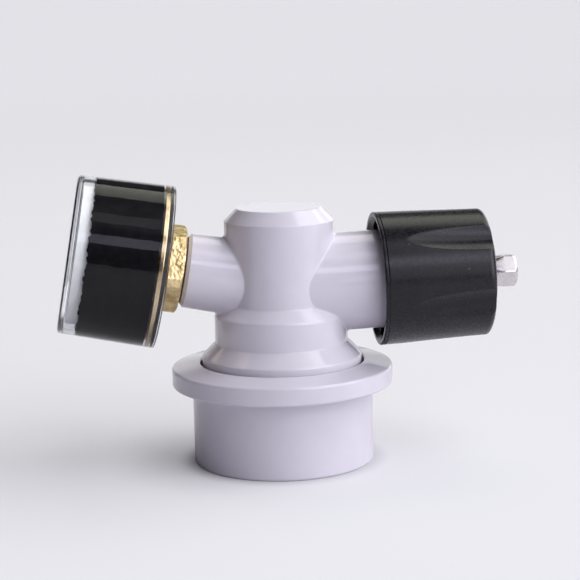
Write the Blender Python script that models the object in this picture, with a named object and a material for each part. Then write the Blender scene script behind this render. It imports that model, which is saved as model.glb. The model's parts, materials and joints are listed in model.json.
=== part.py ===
"""Gas disconnect with a pressure gauge and an adjustable relief head.

The base is a ball-lock socket that snaps onto a keg's gas post. A release collar slides on it
and holds six steel balls in the post's groove. A sprung poppet closes the socket when it is off
the post. The chamber above feeds two branches: one carries a Bourdon-tube gauge, the other a
sprung relief piston. The fluted knob sets the relief spring, and the pull pin vents by hand.

Lengths are in millimetres and become metres when a mesh is stored. The origin is on the
socket's axis, level with its foot. +Z is up, and +X runs towards the knob.
"""

import math

import bmesh
import bpy
from mathutils import Matrix, Vector

METRES = 0.001

# Socket and body, turned about Z
FOOT_OUTER_R = 12.1
POST_BORE_R = 8.9
POST_NOSE_R = 7.7
POST_BORE_TOP = 13.0
SOCKET_ROOF = 18.0
RIM_R = 14.15
RIM_BOTTOM = 16.0
BAND_R = 11.75
BAND_BOTTOM = 21.44
BAND_TOP = 26.2
COLUMN_R = 9.63
COLUMN_BOTTOM = 28.3
TOP_CHAMFER_START = 42.89
BODY_TOP = 45.14
TOP_FACE_R = 7.4
CHAMBER_R = 5.0
CHAMBER_TOP = 39.5

# Release collar, locking balls and the ring that stops the collar
SKIRT_R = 16.0
FLANGE_R = 19.55
FLANGE_BOTTOM = 13.87
FLANGE_EDGE_TOP = 17.04
COLLAR_TOP = 18.0
COLLAR_BORE_R = 14.5
MOUTH_R = 13.9
RELEASE_R = 13.1
LAND_R = 12.75
STOP_SHOULDER = 4.5
LAND_BOTTOM = 5.75
LAND_TOP = 9.0
BALL_R = 2.0
BALL_CENTRE_R = 10.3
BALL_HEIGHT = 6.5
BALL_COUNT = 6
STOP_RING_INNER_R = 11.5
STOP_RING_OUTER_R = 13.5
STOP_RING_BOTTOM = 3.0
STOP_RING_TOP = 4.2

# Branch axes: where each crosses Z, and how far it rises above level
GAUGE_AXIS_HEIGHT = 31.6
GAUGE_RISE = math.radians(10.4)
RELIEF_AXIS_HEIGHT = 31.34
RELIEF_RISE = math.radians(1.25)

# Gauge branch, measured along its axis
GAUGE_BARREL_ROOT_R = 6.9
GAUGE_BARREL_R = 6.55
GAUGE_BARREL_END = 17.2
GAUGE_BORE_R = 4.95
HEX_FLATS = 14.0
HEX_START = 17.7
HEX_END = 20.3
CASE_BACK = 20.62
CASE_FRONT = 37.6
CASE_BACK_R = 14.27
CASE_FRONT_R = 13.8
CASE_WALL = 1.0
WINDOW_THICKNESS = 0.9
BACK_PLATE_START = 21.4
BACK_PLATE_END = 22.3
BAND_START = 22.6
BAND_END = 34.6
DIAL_BACK = 34.0
DIAL_FACE = 34.6
DIAL_R = 12.0
DIAL_RIM_FRONT = 36.4

# Gauge movement: the pinion is on the gauge's axis, and the sector's pivot is below and right
GEAR_MODULE = 0.4
PINION_TEETH = 8
SECTOR_TEETH = 36
GEAR_BACK = 28.9
GEAR_FRONT = 29.5
SECTOR_PIVOT_ANGLE = math.radians(-60)
SECTOR_SWING = math.radians(60)
TAIL_LENGTH = 1.8
REAR_PLATE_BACK = 27.4
REAR_PLATE_FRONT = 28.0
FRONT_PLATE_BACK = 31.4
FRONT_PLATE_FRONT = 32.0
ARBOR_R = 0.45
TUBE_R = 9.6
TUBE_TIP_ANGLE = math.radians(-25)
POINTER_BACK = 35.3
POINTER_FRONT = 35.55

# Relief branch, measured along its axis
RELIEF_BARREL_R = 8.73
RELIEF_BARREL_END = 30.5
RELIEF_BORE_R = 6.4
NOZZLE_FACE = 12.0
PASSAGE_R = 1.3
KNOB_START = 17.0
KNOB_END = 36.6
KNOB_MOUTH_R = 11.8
KNOB_END_R = 11.45
KNOB_RECESS_R = 10.45
KNOB_THREAD_R = 9.05
FLUTE_COUNT = 6
FLUTE_START = 21.5
FLUTE_DEPTH = 1.1
FLUTE_HALF_ANGLE = math.radians(12.8)
FLUTE_PHASE = math.radians(23)
PIN_TIP = 42.2
PIN_STEM_R = 1.5
PIN_NECK_R = 2.35
PIN_FLARE_R = 2.96

# Facets round large, medium and small pieces, and a turn that keeps cut edges off other edges
ROUND = 32
MEDIUM = 24
SMALL = 16
CUT_PHASE = 0.13
TURN = 2 * math.pi


def branch_frame(height, rise, side):
    """A branch's frame: local Z runs out along it, local Y is up, and local X completes it."""
    out = Vector((side * math.cos(rise), 0, math.sin(rise)))
    up = Vector((-side * math.sin(rise), 0, math.cos(rise)))
    frame = Matrix((up.cross(out), up, out)).transposed().to_4x4()
    frame.translation = Vector((0, 0, height * METRES))
    return frame


UPRIGHT = Matrix.Identity(4)
GAUGE = branch_frame(GAUGE_AXIS_HEIGHT, GAUGE_RISE, -1)
RELIEF = branch_frame(RELIEF_AXIS_HEIGHT, RELIEF_RISE, 1)


def moved(frame, x, y, z):
    """The frame carried to a point given in its own axes."""
    return frame @ Matrix.Translation(Vector((x, y, z)) * METRES)


def make_material(name, colour, roughness, metallic=0.0, alpha=1.0):
    material = bpy.data.materials.new(name)
    material.use_nodes = True
    shader = material.node_tree.nodes["Principled BSDF"]
    shader.inputs["Base Color"].default_value = (*colour, 1.0)
    shader.inputs["Roughness"].default_value = roughness
    shader.inputs["Metallic"].default_value = metallic
    shader.inputs["Alpha"].default_value = alpha
    material.diffuse_color = (*colour, alpha)
    return material


GREY_PLASTIC = make_material("grey_plastic", (0.55, 0.54, 0.60), 0.25)
BLACK_PLASTIC = make_material("black_plastic", (0.02, 0.022, 0.024), 0.38)
CLEAR_PLASTIC = make_material("clear_plastic", (0.92, 0.93, 0.95), 0.05, alpha=0.3)
BAND_BLACK = make_material("band_black", (0.008, 0.008, 0.008), 0.2)
BRASS = make_material("brass", (0.80, 0.58, 0.24), 0.35, metallic=1.0)
GILT = make_material("gilt_plate", (0.85, 0.68, 0.38), 0.3, metallic=1.0)
STEEL = make_material("stainless_steel", (0.75, 0.75, 0.76), 0.2, metallic=1.0)
SPRING_STEEL = make_material("spring_steel", (0.6, 0.6, 0.62), 0.3, metallic=1.0)
RUBBER = make_material("seal_rubber", (0.02, 0.02, 0.02), 0.7)
DIAL_WHITE = make_material("dial_white", (0.88, 0.88, 0.86), 0.5)
POINTER_BLACK = make_material("pointer_black", (0.01, 0.01, 0.01), 0.5)


def store(name, shape, frame, material=None):
    """Store a bmesh built in millimetres as a named object in the given frame."""
    bmesh.ops.remove_doubles(shape, verts=shape.verts, dist=1e-5)
    bmesh.ops.recalc_face_normals(shape, faces=shape.faces)
    bmesh.ops.scale(shape, vec=(METRES, METRES, METRES), verts=shape.verts)
    mesh = bpy.data.meshes.new(name)
    shape.to_mesh(mesh)
    shape.free()
    mesh.shade_smooth()
    mesh.set_sharp_from_angle(angle=math.radians(30))
    made = bpy.data.objects.new(name, mesh)
    bpy.context.scene.collection.objects.link(made)
    made.matrix_world = frame
    if material:
        mesh.materials.append(material)
    return made


def combine(target, tool, operation):
    """Add or cut a hidden tool solid."""
    tool.hide_render = True
    tool.display_type = "WIRE"
    modifier = target.modifiers.new(tool.name, "BOOLEAN")
    modifier.operation = operation
    modifier.solver = "EXACT"
    modifier.object = tool


def turned(outline, segments, radius_at=None, phase=0.0):
    """Turn a closed outline of (radius, height) points about local Z. Radius 0 ends in a flat cap."""
    shape = bmesh.new()
    rings = []
    for r, z in outline:
        if r == 0:
            rings.append(None)
            continue
        ring = []
        for i in range(segments):
            angle = TURN * i / segments + phase
            here = radius_at(r, z, angle) if radius_at else r
            ring.append(shape.verts.new((here * math.cos(angle), here * math.sin(angle), z)))
        rings.append(ring)
    for first, second in zip(rings, rings[1:] + rings[:1]):
        if first and second:
            bridge(shape, first, second)
        elif first or second:
            shape.faces.new(first or second)
    return shape


def bridge(shape, first, second):
    """Quads between two rings of the same count."""
    for i in range(len(first)):
        j = (i + 1) % len(first)
        shape.faces.new((first[i], first[j], second[j], second[i]))


def prism(outline, z_low, z_high):
    """Extrude a closed outline of (x, y) points along local Z."""
    shape = bmesh.new()
    low = [shape.verts.new((x, y, z_low)) for x, y in outline]
    high = [shape.verts.new((x, y, z_high)) for x, y in outline]
    shape.faces.new(low)
    shape.faces.new(high)
    for i in range(len(outline)):
        j = (i + 1) % len(outline)
        shape.faces.new((low[i], low[j], high[j], high[i]))
    return shape


def swept(points, ring):
    """Sweep a ring of (out, up) offsets along points. Each point is (position, out, up)."""
    shape = bmesh.new()
    rings = []
    for position, out, up in points:
        rings.append([shape.verts.new(position + out * a + up * b) for a, b in ring])
    shape.faces.new(rings[0])
    shape.faces.new(rings[-1])
    for first, second in zip(rings, rings[1:]):
        bridge(shape, first, second)
    return shape


def circle_points(radius, count, x=0.0, y=0.0, phase=0.0):
    angles = [TURN * i / count + phase for i in range(count)]
    return [(x + radius * math.cos(a), y + radius * math.sin(a)) for a in angles]


def polar(radius, angle):
    return radius * math.cos(angle), radius * math.sin(angle)


def hull_outline(points):
    """The convex outline round a set of points, anticlockwise."""
    ordered = sorted(set(points))

    def half(run):
        chain = []
        for x, y in run:
            while len(chain) > 1:
                (ax, ay), (bx, by) = chain[-2], chain[-1]
                if (bx - ax) * (y - ay) - (by - ay) * (x - ax) > 1e-9:
                    break
                chain.pop()
            chain.append((x, y))
        return chain[:-1]

    return half(ordered) + half(ordered[::-1])


def arc(centre_r, centre_z, radius, start, end, steps):
    """Points of a profile's round edge, its angles in degrees from +R towards +Z."""
    angles = [math.radians(start + (end - start) * i / steps) for i in range(steps + 1)]
    return [(centre_r + radius * math.cos(a), centre_z + radius * math.sin(a)) for a in angles]


def coil(radius, wire_r, low, high, turns, per_turn, sides=6):
    """A helical spring with its first and last turn lying flat."""
    flat = 0.75
    steps = int(turns * per_turn)
    bottom = low + wire_r
    rise = high - low - 2 * wire_r
    points = []
    for i in range(steps + 1):
        turn = turns * i / steps
        climb = min(max((turn - flat) / (turns - 2 * flat), 0.0), 1.0)
        lift = 2 * wire_r * 1.05
        z = bottom + (rise - 2 * lift) * climb + lift * min(turn / flat, 1.0)
        z += lift * max((turn - turns + flat) / flat, 0.0)
        angle = TURN * turn
        out = Vector((math.cos(angle), math.sin(angle), 0))
        points.append((out * radius + Vector((0, 0, z)), out, Vector((0, 0, 1))))
    return swept(points, circle_points(wire_r, sides))


def ring_seal(radius, wire_r, height, count=24, sides=6):
    """An O-ring about local Z."""
    section = [(radius + x, height + z) for x, z in circle_points(wire_r, sides)]
    return turned(section, count)


# Body, socket and poppet valve


def body_profile():
    """The outside of the body: foot, rim, cone, band, column and chamfered top."""
    groove_r = STOP_RING_INNER_R - 0.2
    groove_bottom = STOP_RING_BOTTOM - 0.15
    groove_top = STOP_RING_TOP + 0.15
    cone_start = BAND_BOTTOM - (RIM_R - BAND_R)
    shoulder_r = BAND_TOP - COLUMN_BOTTOM + BAND_R
    return [
        (0, 0),
        (FOOT_OUTER_R - 0.3, 0),
        (FOOT_OUTER_R, 0.3),
        (FOOT_OUTER_R, groove_bottom),
        (groove_r, groove_bottom),
        (groove_r, groove_top),
        (FOOT_OUTER_R, groove_top),
        (FOOT_OUTER_R, RIM_BOTTOM),
        (RIM_R, RIM_BOTTOM),
        (RIM_R, cone_start),
        (BAND_R, BAND_BOTTOM),
        (BAND_R, BAND_TOP),
        (BAND_R - 0.5, BAND_TOP + 0.3),
        (shoulder_r, COLUMN_BOTTOM - 0.25),
        (COLUMN_R, COLUMN_BOTTOM + 0.2),
        (COLUMN_R, TOP_CHAMFER_START),
        (TOP_FACE_R, BODY_TOP),
        (0, BODY_TOP),
    ]


def barrel(name, frame, root_r, end_r, end, edge):
    outline = [(0, 1), (root_r, 1), (end_r, end - edge), (end_r - edge, end), (0, end)]
    return store(name, turned(outline, 30, phase=CUT_PHASE), frame)


def ball_frame(index, radius):
    return moved(Matrix.Rotation(TURN * index / BALL_COUNT, 4, "Z"), radius, 0, BALL_HEIGHT)


def make_main_body():
    body = store("main_body", turned(body_profile(), ROUND), UPRIGHT, GREY_PLASTIC)
    combine(
        body,
        barrel("gauge_barrel", GAUGE, GAUGE_BARREL_ROOT_R, GAUGE_BARREL_R, GAUGE_BARREL_END, 0.6),
        "UNION",
    )
    combine(
        body,
        barrel("relief_barrel", RELIEF, RELIEF_BARREL_R, RELIEF_BARREL_R, RELIEF_BARREL_END, 0.5),
        "UNION",
    )
    socket = [
        (0, -1),
        (POST_BORE_R + 1.5, -1),
        (POST_BORE_R, 0.5),
        (POST_BORE_R, POST_BORE_TOP),
        (POST_NOSE_R, POST_BORE_TOP + 0.8),
        (POST_NOSE_R, SOCKET_ROOF),
        (CHAMBER_R, SOCKET_ROOF),
        (CHAMBER_R, CHAMBER_TOP - 1),
        (CHAMBER_R - 1, CHAMBER_TOP),
        (0, CHAMBER_TOP),
    ]
    combine(body, store("socket_cut", turned(socket, ROUND), UPRIGHT), "DIFFERENCE")
    port = [
        (0, 3),
        (PASSAGE_R, 3),
        (PASSAGE_R, 8),
        (GAUGE_BORE_R, 8),
        (GAUGE_BORE_R, GAUGE_BARREL_END + 1),
        (0, GAUGE_BARREL_END + 1),
    ]
    combine(body, store("gauge_port_cut", turned(port, SMALL, phase=CUT_PHASE), GAUGE), "DIFFERENCE")
    relief = [
        (0, 3),
        (PASSAGE_R, 3),
        (PASSAGE_R, NOZZLE_FACE),
        (2.2, NOZZLE_FACE),
        (2.7, NOZZLE_FACE - 1),
        (RELIEF_BORE_R, NOZZLE_FACE - 1),
        (RELIEF_BORE_R, RELIEF_BARREL_END + 1),
        (0, RELIEF_BARREL_END + 1),
    ]
    combine(body, store("relief_port_cut", turned(relief, MEDIUM, phase=CUT_PHASE), RELIEF), "DIFFERENCE")
    pocket = [(0, 7), (1.85, 7), (1.85, 9.2), (BALL_R + 0.12, 9.8), (BALL_R + 0.12, 14), (0, 14)]
    for index in range(BALL_COUNT):
        frame = ball_frame(index, 0) @ Matrix.Rotation(math.pi / 2, 4, "Y")
        tool = store(f"pocket_cut_{index + 1}", turned(pocket, 14, phase=CUT_PHASE), frame)
        combine(body, tool, "DIFFERENCE")


def make_valve():
    """The poppet that the keg post lifts, its seal, its seat and its spring."""
    seat = [
        (2.4, SOCKET_ROOF + 0.1),
        (4.7, SOCKET_ROOF + 0.1),
        (4.7, 20.7),
        (4.4, 21.0),
        (2.4, 21.0),
    ]
    store("valve_seat", turned(seat, MEDIUM), UPRIGHT, BRASS)
    store("poppet_seal", ring_seal(3.0, 0.5, 21.8), UPRIGHT, RUBBER)
    poppet = [
        (0, 12.5),
        (1.9, 12.5),
        (2.2, 12.8),
        (2.2, 13.6),
        (1.6, 14.2),
        (1.6, 20.8),
        (2.2, 21.3),
        (2.2, 22.6),
        (3.9, 22.6),
        (3.9, 24.0),
        (3.5, 24.4),
        (1.3, 24.4),
        (1.3, 30.7),
        (1.0, 31.0),
        (0, 31.0),
    ]
    store("poppet", turned(poppet, SMALL), UPRIGHT, STEEL)
    store("poppet_spring", coil(3.4, 0.3, 24.7, 38.2, 6, 12, 5), UPRIGHT, SPRING_STEEL)


# Release collar and ball lock


def make_collar():
    edge = 0.45
    outline = [
        (MOUTH_R, 0),
        (SKIRT_R - edge, 0),
        (SKIRT_R, edge),
        (SKIRT_R, FLANGE_BOTTOM),
        *arc(FLANGE_R - edge, FLANGE_BOTTOM + edge, edge, -90, 0, 2),
        *arc(FLANGE_R - edge, FLANGE_EDGE_TOP - edge, edge, 0, 78, 2),
        (COLLAR_BORE_R, COLLAR_TOP),
        (COLLAR_BORE_R, LAND_TOP),
        (LAND_R, LAND_TOP),
        (LAND_R, LAND_BOTTOM),
        (RELEASE_R, LAND_BOTTOM),
        (RELEASE_R, STOP_SHOULDER),
        (MOUTH_R, STOP_SHOULDER),
    ]
    store("release_collar", turned(outline, ROUND), UPRIGHT, GREY_PLASTIC)
    spring = coil(13.3, 0.5, LAND_TOP + 0.3, RIM_BOTTOM - 0.3, 3, 22, 5)
    store("collar_spring", spring, UPRIGHT, SPRING_STEEL)
    gap = math.radians(14)
    steps = 36
    ring = []
    for i in range(steps + 1):
        angle = gap + (TURN - 2 * gap) * i / steps
        out = Vector((math.cos(angle), math.sin(angle), 0))
        ring.append((Vector((0, 0, 0)), out, Vector((0, 0, 1))))
    section = [
        (STOP_RING_INNER_R, STOP_RING_BOTTOM),
        (STOP_RING_OUTER_R, STOP_RING_BOTTOM),
        (STOP_RING_OUTER_R, STOP_RING_TOP),
        (STOP_RING_INNER_R, STOP_RING_TOP),
    ]
    facing_back = Matrix.Rotation(math.pi / 2, 4, "Z")
    store("collar_stop_ring", swept(ring, section), facing_back, SPRING_STEEL)


def make_balls():
    for index in range(BALL_COUNT):
        shape = bmesh.new()
        bmesh.ops.create_icosphere(shape, subdivisions=2, radius=BALL_R)
        store(f"locking_ball_{index + 1}", shape, ball_frame(index, BALL_CENTRE_R), STEEL)


# Gauge branch


def hex_outline(flats):
    corner = flats / 2 / math.cos(math.pi / 6)
    first = math.radians(49.4)
    return [polar(corner, first + TURN * i / 6) for i in range(6)]


def make_socket():
    """Brass gauge stem: thread end in the barrel, hexagon, neck and tube block."""
    stem = [
        (0, 9.0),
        (4.35, 9.0),
        (4.65, 9.3),
        (4.65, 17.4),
        (3.9, 17.6),
        (3.9, HEX_START + 0.4),
        (3.4, HEX_END - 0.3),
        (3.4, 23.4),
        (0, 23.4),
    ]
    socket = store("gauge_socket", turned(stem, SMALL), GAUGE, BRASS)
    hexagon = store("hexagon_stock", prism(hex_outline(HEX_FLATS), HEX_START, HEX_END), GAUGE)
    chamfer_r = HEX_FLATS / 2
    chamfer = [
        (0, HEX_START - 0.5),
        (chamfer_r - 0.6, HEX_START - 0.5),
        (chamfer_r + 1.3, HEX_START + 1.0),
        (chamfer_r + 1.3, HEX_END + 0.5),
        (0, HEX_END + 0.5),
    ]
    combine(hexagon, store("hexagon_chamfer", turned(chamfer, ROUND), GAUGE), "INTERSECT")
    combine(socket, hexagon, "UNION")
    root = polar(9.3, math.radians(-143))
    outline = hull_outline(circle_points(3.6, 24) + circle_points(1.9, 16, *root))
    combine(socket, store("tube_block", prism(outline, 23.0, 27.1), GAUGE), "UNION")
    way = [(0, 8), (0.9, 8), (0.9, 25.0), (0, 25.0)]
    combine(socket, store("socket_way_cut", turned(way, 12), GAUGE), "DIFFERENCE")
    store("port_seal", ring_seal(5.6, 0.15, (GAUGE_BARREL_END + HEX_START) / 2), GAUGE, RUBBER)


def case_outer_r(along):
    share = (along - CASE_BACK) / (CASE_FRONT - CASE_BACK)
    return CASE_BACK_R + (CASE_FRONT_R - CASE_BACK_R) * share


def make_case():
    """The clear cup, the gilt plate that backs it and the black sleeve inside it."""
    edge = 0.7
    window_back = CASE_FRONT - WINDOW_THICKNESS
    inner_front_r = case_outer_r(window_back) - CASE_WALL
    front_r = case_outer_r(CASE_FRONT - edge)
    cup = [
        (case_outer_r(CASE_BACK) - CASE_WALL, CASE_BACK),
        (CASE_BACK_R, CASE_BACK),
        *arc(front_r - edge, CASE_FRONT - edge, edge, 0, 90, 2),
        (0, CASE_FRONT),
        (0, window_back),
        (inner_front_r - 0.3, window_back),
        (inner_front_r, window_back - 0.3),
    ]
    store("gauge_case", turned(cup, ROUND), GAUGE, CLEAR_PLASTIC)
    plate_r = case_outer_r(BACK_PLATE_END) - CASE_WALL - 0.3
    plate = [
        (3.7, BACK_PLATE_START),
        (plate_r, BACK_PLATE_START),
        (plate_r, BACK_PLATE_END),
        (3.7, BACK_PLATE_END),
    ]
    store("gauge_back_plate", turned(plate, ROUND), GAUGE, GILT)
    clearance = CASE_WALL + 0.25
    thickness = 0.35
    sleeve = [
        (case_outer_r(BAND_START) - clearance - thickness, BAND_START),
        (case_outer_r(BAND_START) - clearance, BAND_START),
        (case_outer_r(BAND_END) - clearance, BAND_END),
        (case_outer_r(BAND_END) - clearance - thickness, BAND_END),
    ]
    store("case_band", turned(sleeve, ROUND), GAUGE, BAND_BLACK)


def round_cut(name, radius, low, high, x=0.0, y=0.0, count=16):
    return store(name, prism(circle_points(radius, count, x, y, CUT_PHASE), low, high), GAUGE)


def make_dial():
    rim_r = DIAL_R - 0.45
    dial = [
        (1.0, DIAL_BACK),
        (DIAL_R, DIAL_BACK),
        (DIAL_R, DIAL_RIM_FRONT),
        (rim_r, DIAL_RIM_FRONT),
        (rim_r, DIAL_FACE),
        (1.0, DIAL_FACE),
    ]
    plate = store("gauge_dial", turned(dial, ROUND), GAUGE, DIAL_WHITE)
    for index, x in enumerate((-4.0, 4.0)):
        hole = round_cut(f"dial_hole_{index + 1}", 0.75, DIAL_BACK - 1, DIAL_FACE + 1, x, 0, 12)
        combine(plate, hole, "DIFFERENCE")
        screw = [
            (0, 32.2),
            (0.45, 32.2),
            (0.45, DIAL_FACE + 0.1),
            (1.05, DIAL_FACE + 0.1),
            (0.95, DIAL_FACE + 0.4),
            (0, DIAL_FACE + 0.4),
        ]
        place = moved(GAUGE, x, 0, 0)
        store(f"dial_screw_{index + 1}", turned(screw, 10), place, STEEL)
    tail, tip, half = 3.4, 9.4, 0.55
    pointer = store("pointer", pointer_shape(tail, tip, half), GAUGE, POINTER_BLACK)
    combine(pointer, round_cut("pointer_bore", ARBOR_R + 0.25, 34, 37), "DIFFERENCE")


def pointer_shape(tail, tip, half):
    """A flat hand that points down and left, where the scale starts."""
    start = math.radians(225)
    along = Vector((math.cos(start), math.sin(start)))
    across = Vector((-along.y, along.x))
    hub = [Vector(p) for p in circle_points(1.5, 16)]
    ring = [p for p in hub if abs(p.dot(across)) > half]
    ring.append(along * tip)
    for side in (half, -half):
        ring.append(along * -1.2 + across * side)
        ring.append(along * -tail + across * side * 1.7)
    ring.sort(key=lambda p: math.atan2(p.dot(across), p.dot(along)))
    return prism([tuple(p) for p in ring], POINTER_BACK, POINTER_FRONT)


def gear_outline(teeth, first, count, root_back):
    """Teeth on a pitch circle, from a first tooth's angle, closed on a root radius behind."""
    pitch_r = GEAR_MODULE * teeth / 2
    step = TURN / teeth
    root_r = pitch_r - 1.15 * GEAR_MODULE
    tip_r = pitch_r + 0.75 * GEAR_MODULE
    points = []
    for index in range(count):
        middle = first + step * index
        for radius, offset in ((root_r, -0.27), (tip_r, -0.09), (tip_r, 0.09), (root_r, 0.27)):
            points.append(polar(radius, middle + step * offset))
    return points + root_back


def make_movement():
    """Pinion, sector, plates, pillars, tube, link and hairspring behind the dial."""
    pivot_distance = GEAR_MODULE * (PINION_TEETH + SECTOR_TEETH) / 2
    pivot = polar(pivot_distance, SECTOR_PIVOT_ANGLE)
    centre_way = SECTOR_PIVOT_ANGLE + math.pi
    pinion_step = TURN / PINION_TEETH
    teeth = gear_outline(PINION_TEETH, SECTOR_PIVOT_ANGLE + pinion_step / 2, PINION_TEETH, [])
    pinion = store("pinion", prism(teeth, GEAR_BACK, GEAR_FRONT), GAUGE, BRASS)
    arbor = [(0, 27.4), (ARBOR_R, 27.4), (ARBOR_R, POINTER_FRONT + 0.25), (0, POINTER_FRONT + 0.25)]
    combine(pinion, store("pinion_arbor", turned(arbor, 12), GAUGE), "UNION")

    step = TURN / SECTOR_TEETH
    count = int(SECTOR_SWING / step) + 3
    first = centre_way - (count - 2) * step
    last = first + (count - 1) * step
    tail_way = SECTOR_PIVOT_ANGLE - SECTOR_SWING / 2
    hub = [polar(1.1, last + math.radians(50 + 20 * i)) for i in range(3)]
    hub += [polar(TAIL_LENGTH + 0.6, tail_way + math.radians(a)) for a in (-16, 0, 16)]
    outline = gear_outline(SECTOR_TEETH, first, count, hub)
    sector_frame = moved(GAUGE, *pivot, 0)
    sector = store("sector_gear", prism(outline, GEAR_BACK, GEAR_FRONT), sector_frame, BRASS)
    shaft = [(0, 27.2), (0.5, 27.2), (0.5, 32.2), (0, 32.2)]
    combine(sector, store("sector_arbor", turned(shaft, 12), sector_frame), "UNION")

    tail = (pivot[0] + TAIL_LENGTH * math.cos(tail_way), pivot[1] + TAIL_LENGTH * math.sin(tail_way))
    tip = polar(TUBE_R, TUBE_TIP_ANGLE)
    reach = (tip[0] - tail[0], tip[1] - tail[1])
    strap = hull_outline(circle_points(0.45, 12) + circle_points(0.45, 12, *reach))
    store("tip_link", prism(strap, 29.8, 30.2), moved(GAUGE, *tail, 0), STEEL)

    pillars = ((-2.2, 3.2), (1.9, -10.0))
    outline = circle_points(5.3, 28) + circle_points(2.2, 14, *pivot)
    for x, y in pillars:
        outline += circle_points(1.5, 12, x, y)
    levels = {
        "movement_rear_plate": (REAR_PLATE_BACK, REAR_PLATE_FRONT),
        "movement_front_plate": (FRONT_PLATE_BACK, FRONT_PLATE_FRONT),
    }
    for name, (low, high) in levels.items():
        plate = store(name, prism(hull_outline(outline), low, high), GAUGE, BRASS)
        combine(plate, round_cut(f"{name}_pinion_hole", 0.75, low - 1, high + 1), "DIFFERENCE")
        hole = round_cut(f"{name}_sector_hole", 0.8, low - 1, high + 1, *pivot)
        combine(plate, hole, "DIFFERENCE")
    for index, (x, y) in enumerate(pillars):
        post = [(0, 28.3), (0.8, 28.3), (0.8, 31.1), (0, 31.1)]
        store(f"movement_pillar_{index + 1}", turned(post, 12), moved(GAUGE, x, y, 0), BRASS)
    make_tube()
    make_hairspring()


def make_tube():
    """The C-shaped Bourdon tube, open at its root, and the block on its tip."""
    root_angle = math.radians(-157)
    end_angle = TUBE_TIP_ANGLE - TURN + math.radians(7)
    steps = 26
    outside, inside = [], []
    for i in range(steps + 1):
        angle = root_angle + (end_angle - root_angle) * i / steps
        out = Vector((math.cos(angle), math.sin(angle), 0))
        outside.append((out * TUBE_R + Vector((0, 0, 25.0)), out, Vector((0, 0, 1))))
        if i < steps:
            inside.append(outside[-1])
    half_thick, half_wide, wall = 0.65, 1.8, 0.22
    section = [(half_thick * math.cos(a), half_wide * math.sin(a)) for a in tube_angles()]
    bore = [
        ((half_thick - wall) * math.cos(a), (half_wide - wall) * math.sin(a)) for a in tube_angles()
    ]
    shape = bmesh.new()
    outer_rings = tube_rings(shape, outside, section)
    inner_rings = tube_rings(shape, inside, bore)
    shape.faces.new(outer_rings[-1])
    shape.faces.new(inner_rings[-1])
    for first, second in [*zip(outer_rings, outer_rings[1:]), *zip(inner_rings, inner_rings[1:])]:
        bridge(shape, first, second)
    bridge(shape, outer_rings[0], inner_rings[0])
    store("bourdon_tube", shape, GAUGE, BRASS)
    block = [(0, 23.4), (0.95, 23.4), (0.95, 27.0), (0.4, 27.0), (0.4, 29.5), (0, 29.5)]
    place = moved(GAUGE, *polar(TUBE_R, TUBE_TIP_ANGLE), 0)
    store("tube_tip_block", turned(block, 16), place, BRASS)


def tube_angles():
    return [TURN * i / 8 for i in range(8)]


def tube_rings(shape, stations, section):
    rings = []
    for position, out, up in stations:
        rings.append([shape.verts.new(position + out * a + up * b) for a, b in section])
    return rings


def make_hairspring():
    """A flat spiral round the pinion's arbor."""
    turns, per_turn, inner_r, outer_r = 3, 14, 0.95, 3.0
    points = []
    for i in range(turns * per_turn + 1):
        share = i / (turns * per_turn)
        angle = TURN * turns * share
        out = Vector((math.cos(angle), math.sin(angle), 0))
        radius = inner_r + (outer_r - inner_r) * share
        points.append((out * radius + Vector((0, 0, 30.5)), out, Vector((0, 0, 1))))
    ribbon = [(-0.06, -0.25), (0.06, -0.25), (0.06, 0.25), (-0.06, 0.25)]
    store("hairspring", swept(points, ribbon), GAUGE, SPRING_STEEL)


# Relief branch


def make_relief_valve():
    piston = [
        (0, 13.6),
        (3.7, 13.6),
        (3.7, 12.6),
        (4.4, 12.6),
        (4.6, 12.8),
        (4.6, 13.6),
        (6.0, 13.9),
        (6.0, 15.4),
        (1.8, 15.4),
        (1.8, 14.4),
        (0, 14.4),
    ]
    store("relief_piston", turned(piston, MEDIUM), RELIEF, BLACK_PLASTIC)
    pad = [(0, 12.3), (3.2, 12.3), (3.4, 12.5), (3.4, 13.3), (0, 13.3)]
    store("relief_seal", turned(pad, 24), RELIEF, RUBBER)
    pin = [
        (0, 14.7),
        (PIN_STEM_R, 14.7),
        (PIN_STEM_R, 33.0),
        (PIN_NECK_R, 34.0),
        (PIN_NECK_R, 37.0),
        (PIN_FLARE_R, 39.6),
        (PIN_FLARE_R, PIN_TIP - 0.8),
        *arc(PIN_FLARE_R - 0.8, PIN_TIP - 0.8, 0.8, 30, 90, 2),
        (0, PIN_TIP),
    ]
    store("pull_pin", turned(pin, SMALL), RELIEF, STEEL)
    store("relief_spring", coil(3.7, 0.45, 15.7, 25.7, 5, 14, 5), RELIEF, SPRING_STEEL)
    seat = [(1.9, 24.4), (2.9, 24.4), (2.9, 26.0), (6.0, 26.0), (6.0, 27.5), (1.9, 27.5)]
    store("spring_seat", turned(seat, MEDIUM), RELIEF, STEEL)


def flute_cut(along, angle):
    """How deep the nearest flute is at a height along the knob and an angle round it."""
    if along <= FLUTE_START:
        return 0.0
    share = min((along - FLUTE_START) / (KNOB_END - FLUTE_START), 1.0)
    fullness = 1 - (1 - share) ** 2
    spacing = TURN / FLUTE_COUNT
    away = (angle - FLUTE_PHASE + spacing / 2) % spacing - spacing / 2
    width = FLUTE_HALF_ANGLE * math.sqrt(fullness)
    return FLUTE_DEPTH * fullness * max(0.0, 1 - (away / width) ** 2)


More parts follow.
